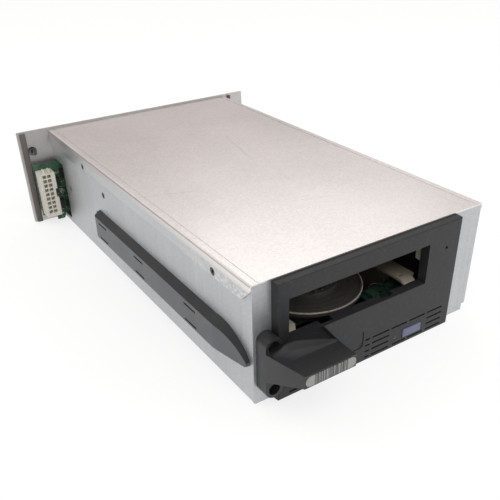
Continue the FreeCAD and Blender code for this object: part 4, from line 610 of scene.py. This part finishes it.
# ---------------------------------------------------------------- floor and light
def build_stage():
    """A pale floor. The camera and glossy surfaces see it near white, and it throws back plain light."""
    reach = 6.0
    mesh = from_bmesh("floor", lambda bm: bmesh.ops.create_grid(bm, x_segments=1, y_segments=1, size=reach))
    floor = bpy.data.objects.new("floor", mesh)
    bpy.context.scene.collection.objects.link(floor)
    s = Shader("pale_floor")
    s.nodes.remove(s.bsdf)
    rays = s.add("ShaderNodeLightPath")
    seen = s.math("MAXIMUM", rays.outputs["Is Camera Ray"],
                  s.math("MAXIMUM", rays.outputs["Is Glossy Ray"], rays.outputs["Is Transmission Ray"]))
    plain = s.add("ShaderNodeBsdfDiffuse")
    plain.inputs["Color"].default_value = (0.76, 0.785, 0.80, 1)
    lit = s.add("ShaderNodeBsdfDiffuse")
    lit.inputs["Color"].default_value = (0.30, 0.30, 0.30, 1)
    glow = s.add("ShaderNodeEmission")
    glow.inputs["Color"].default_value = (1, 1, 1, 1)
    glow.inputs["Strength"].default_value = 0.72
    both = s.add("ShaderNodeAddShader")
    s.plug(lit.outputs["BSDF"], both.inputs[0])
    s.plug(glow.outputs["Emission"], both.inputs[1])
    choose = s.add("ShaderNodeMixShader")
    s.plug(seen, choose.inputs["Fac"])
    s.plug(plain.outputs["BSDF"], choose.inputs[1])
    s.plug(both.outputs["Shader"], choose.inputs[2])
    s.plug(choose.outputs["Shader"], s.nodes["Material Output"].inputs["Surface"])
    floor.data.materials.append(s.material)


def build_world():
    """A white studio. Polished metal sees it as a pale wall that grows brighter upwards."""
    world = bpy.data.worlds.new("studio")
    bpy.context.scene.world = world
    world.use_nodes = True
    nodes, links = world.node_tree.nodes, world.node_tree.links
    nodes.clear()
    where = nodes.new("ShaderNodeTexCoord")
    axes = nodes.new("ShaderNodeSeparateXYZ")
    links.new(where.outputs["Generated"], axes.inputs["Vector"])

    def wall(stops):
        ramp = nodes.new("ShaderNodeValToRGB")
        elements = ramp.color_ramp.elements
        elements[0].position, elements[0].color = stops[0][0], (*stops[0][1], 1)
        elements[1].position, elements[1].color = stops[-1][0], (*stops[-1][1], 1)
        for height, colour in stops[1:-1]:
            elements.new(height).color = (*colour, 1)
        links.new(axes.outputs["Z"], ramp.inputs["Fac"])
        light = nodes.new("ShaderNodeBackground")
        links.new(ramp.outputs["Color"], light.inputs["Color"])
        return light.outputs["Background"]

    diffuse = wall(((0.10, (0.36, 0.355, 0.35)), (0.45, (1.00, 0.97, 0.94)), (0.90, (0.50, 0.49, 0.48))))
    glossy = wall(((0.05, (0.40, 0.355, 0.355)), (0.26, (0.24, 0.195, 0.195)), (0.34, (0.40, 0.35, 0.345)),
                   (0.41, (0.86, 0.80, 0.78)), (0.48, (1.00, 0.975, 0.95)), (0.57, (0.92, 0.90, 0.88)),
                   (0.90, (0.50, 0.49, 0.48))))
    plain = nodes.new("ShaderNodeBackground")
    plain.inputs["Color"].default_value = (1, 1, 1, 1)
    white = plain.outputs["Background"]
    rays = nodes.new("ShaderNodeLightPath")
    shown = diffuse
    for ray, light in (("Is Glossy Ray", glossy), ("Is Transmission Ray", white), ("Is Camera Ray", white)):
        choose = nodes.new("ShaderNodeMixShader")
        links.new(rays.outputs[ray], choose.inputs["Fac"])
        links.new(shown, choose.inputs[1])
        links.new(light, choose.inputs[2])
        shown = choose.outputs["Shader"]
    links.new(shown, nodes.new("ShaderNodeOutputWorld").inputs["Surface"])


def add_lamp(name, place, size, watts, colour=(1, 1, 1), mirrored=False):
    """A square lamp aimed at the origin. Glossy surfaces see only a mirrored one, or they would clip."""
    lamp = bpy.data.lights.new(name, "AREA")
    lamp.shape, lamp.size, lamp.energy, lamp.color = "SQUARE", size, watts, colour
    thing = bpy.data.objects.new(name, lamp)
    thing.location = place
    thing.rotation_euler = (-Vector(place)).to_track_quat("-Z", "Y").to_euler()
    thing.visible_glossy = mirrored
    bpy.context.scene.collection.objects.link(thing)


def build_camera():
    """Looks down on the front left corner, turned a little about its own axis."""
    place = Vector((-0.2502, -0.4146, 0.2621))
    ahead = Vector((0.4662, 0.7070, -0.5318)).normalized()
    across = Vector((0.8293, -0.5586, -0.0156))
    across = (across - ahead * across.dot(ahead)).normalized()
    upwards = across.cross(ahead)
    camera = bpy.data.cameras.new("camera")
    camera.sensor_width = 36.0
    camera.lens = 46.12
    camera.shift_x, camera.shift_y = -0.0203, 0.0913
    camera.clip_start = 0.01
    thing = bpy.data.objects.new("camera", camera)
    turn = Matrix((across, upwards, -ahead)).transposed().to_4x4()
    thing.matrix_world = Matrix.Translation(place) @ turn
    bpy.context.scene.collection.objects.link(thing)
    bpy.context.scene.camera = thing


build_stage()
build_world()
add_lamp("key", (-0.4, -1.35, 1.6), 2.0, 18, (1.0, 0.99, 0.98))
add_lamp("fill", (1.4, -1.1, 0.9), 1.6, 9, (0.96, 0.98, 1.0))
add_lamp("back", (-0.9, 1.5, 1.7), 1.8, 7)
add_lamp("card", (1.2, 1.4, 1.5), 1.0, 1.45, mirrored=True)
build_camera()
bpy.context.scene.view_settings.view_transform = "Standard"
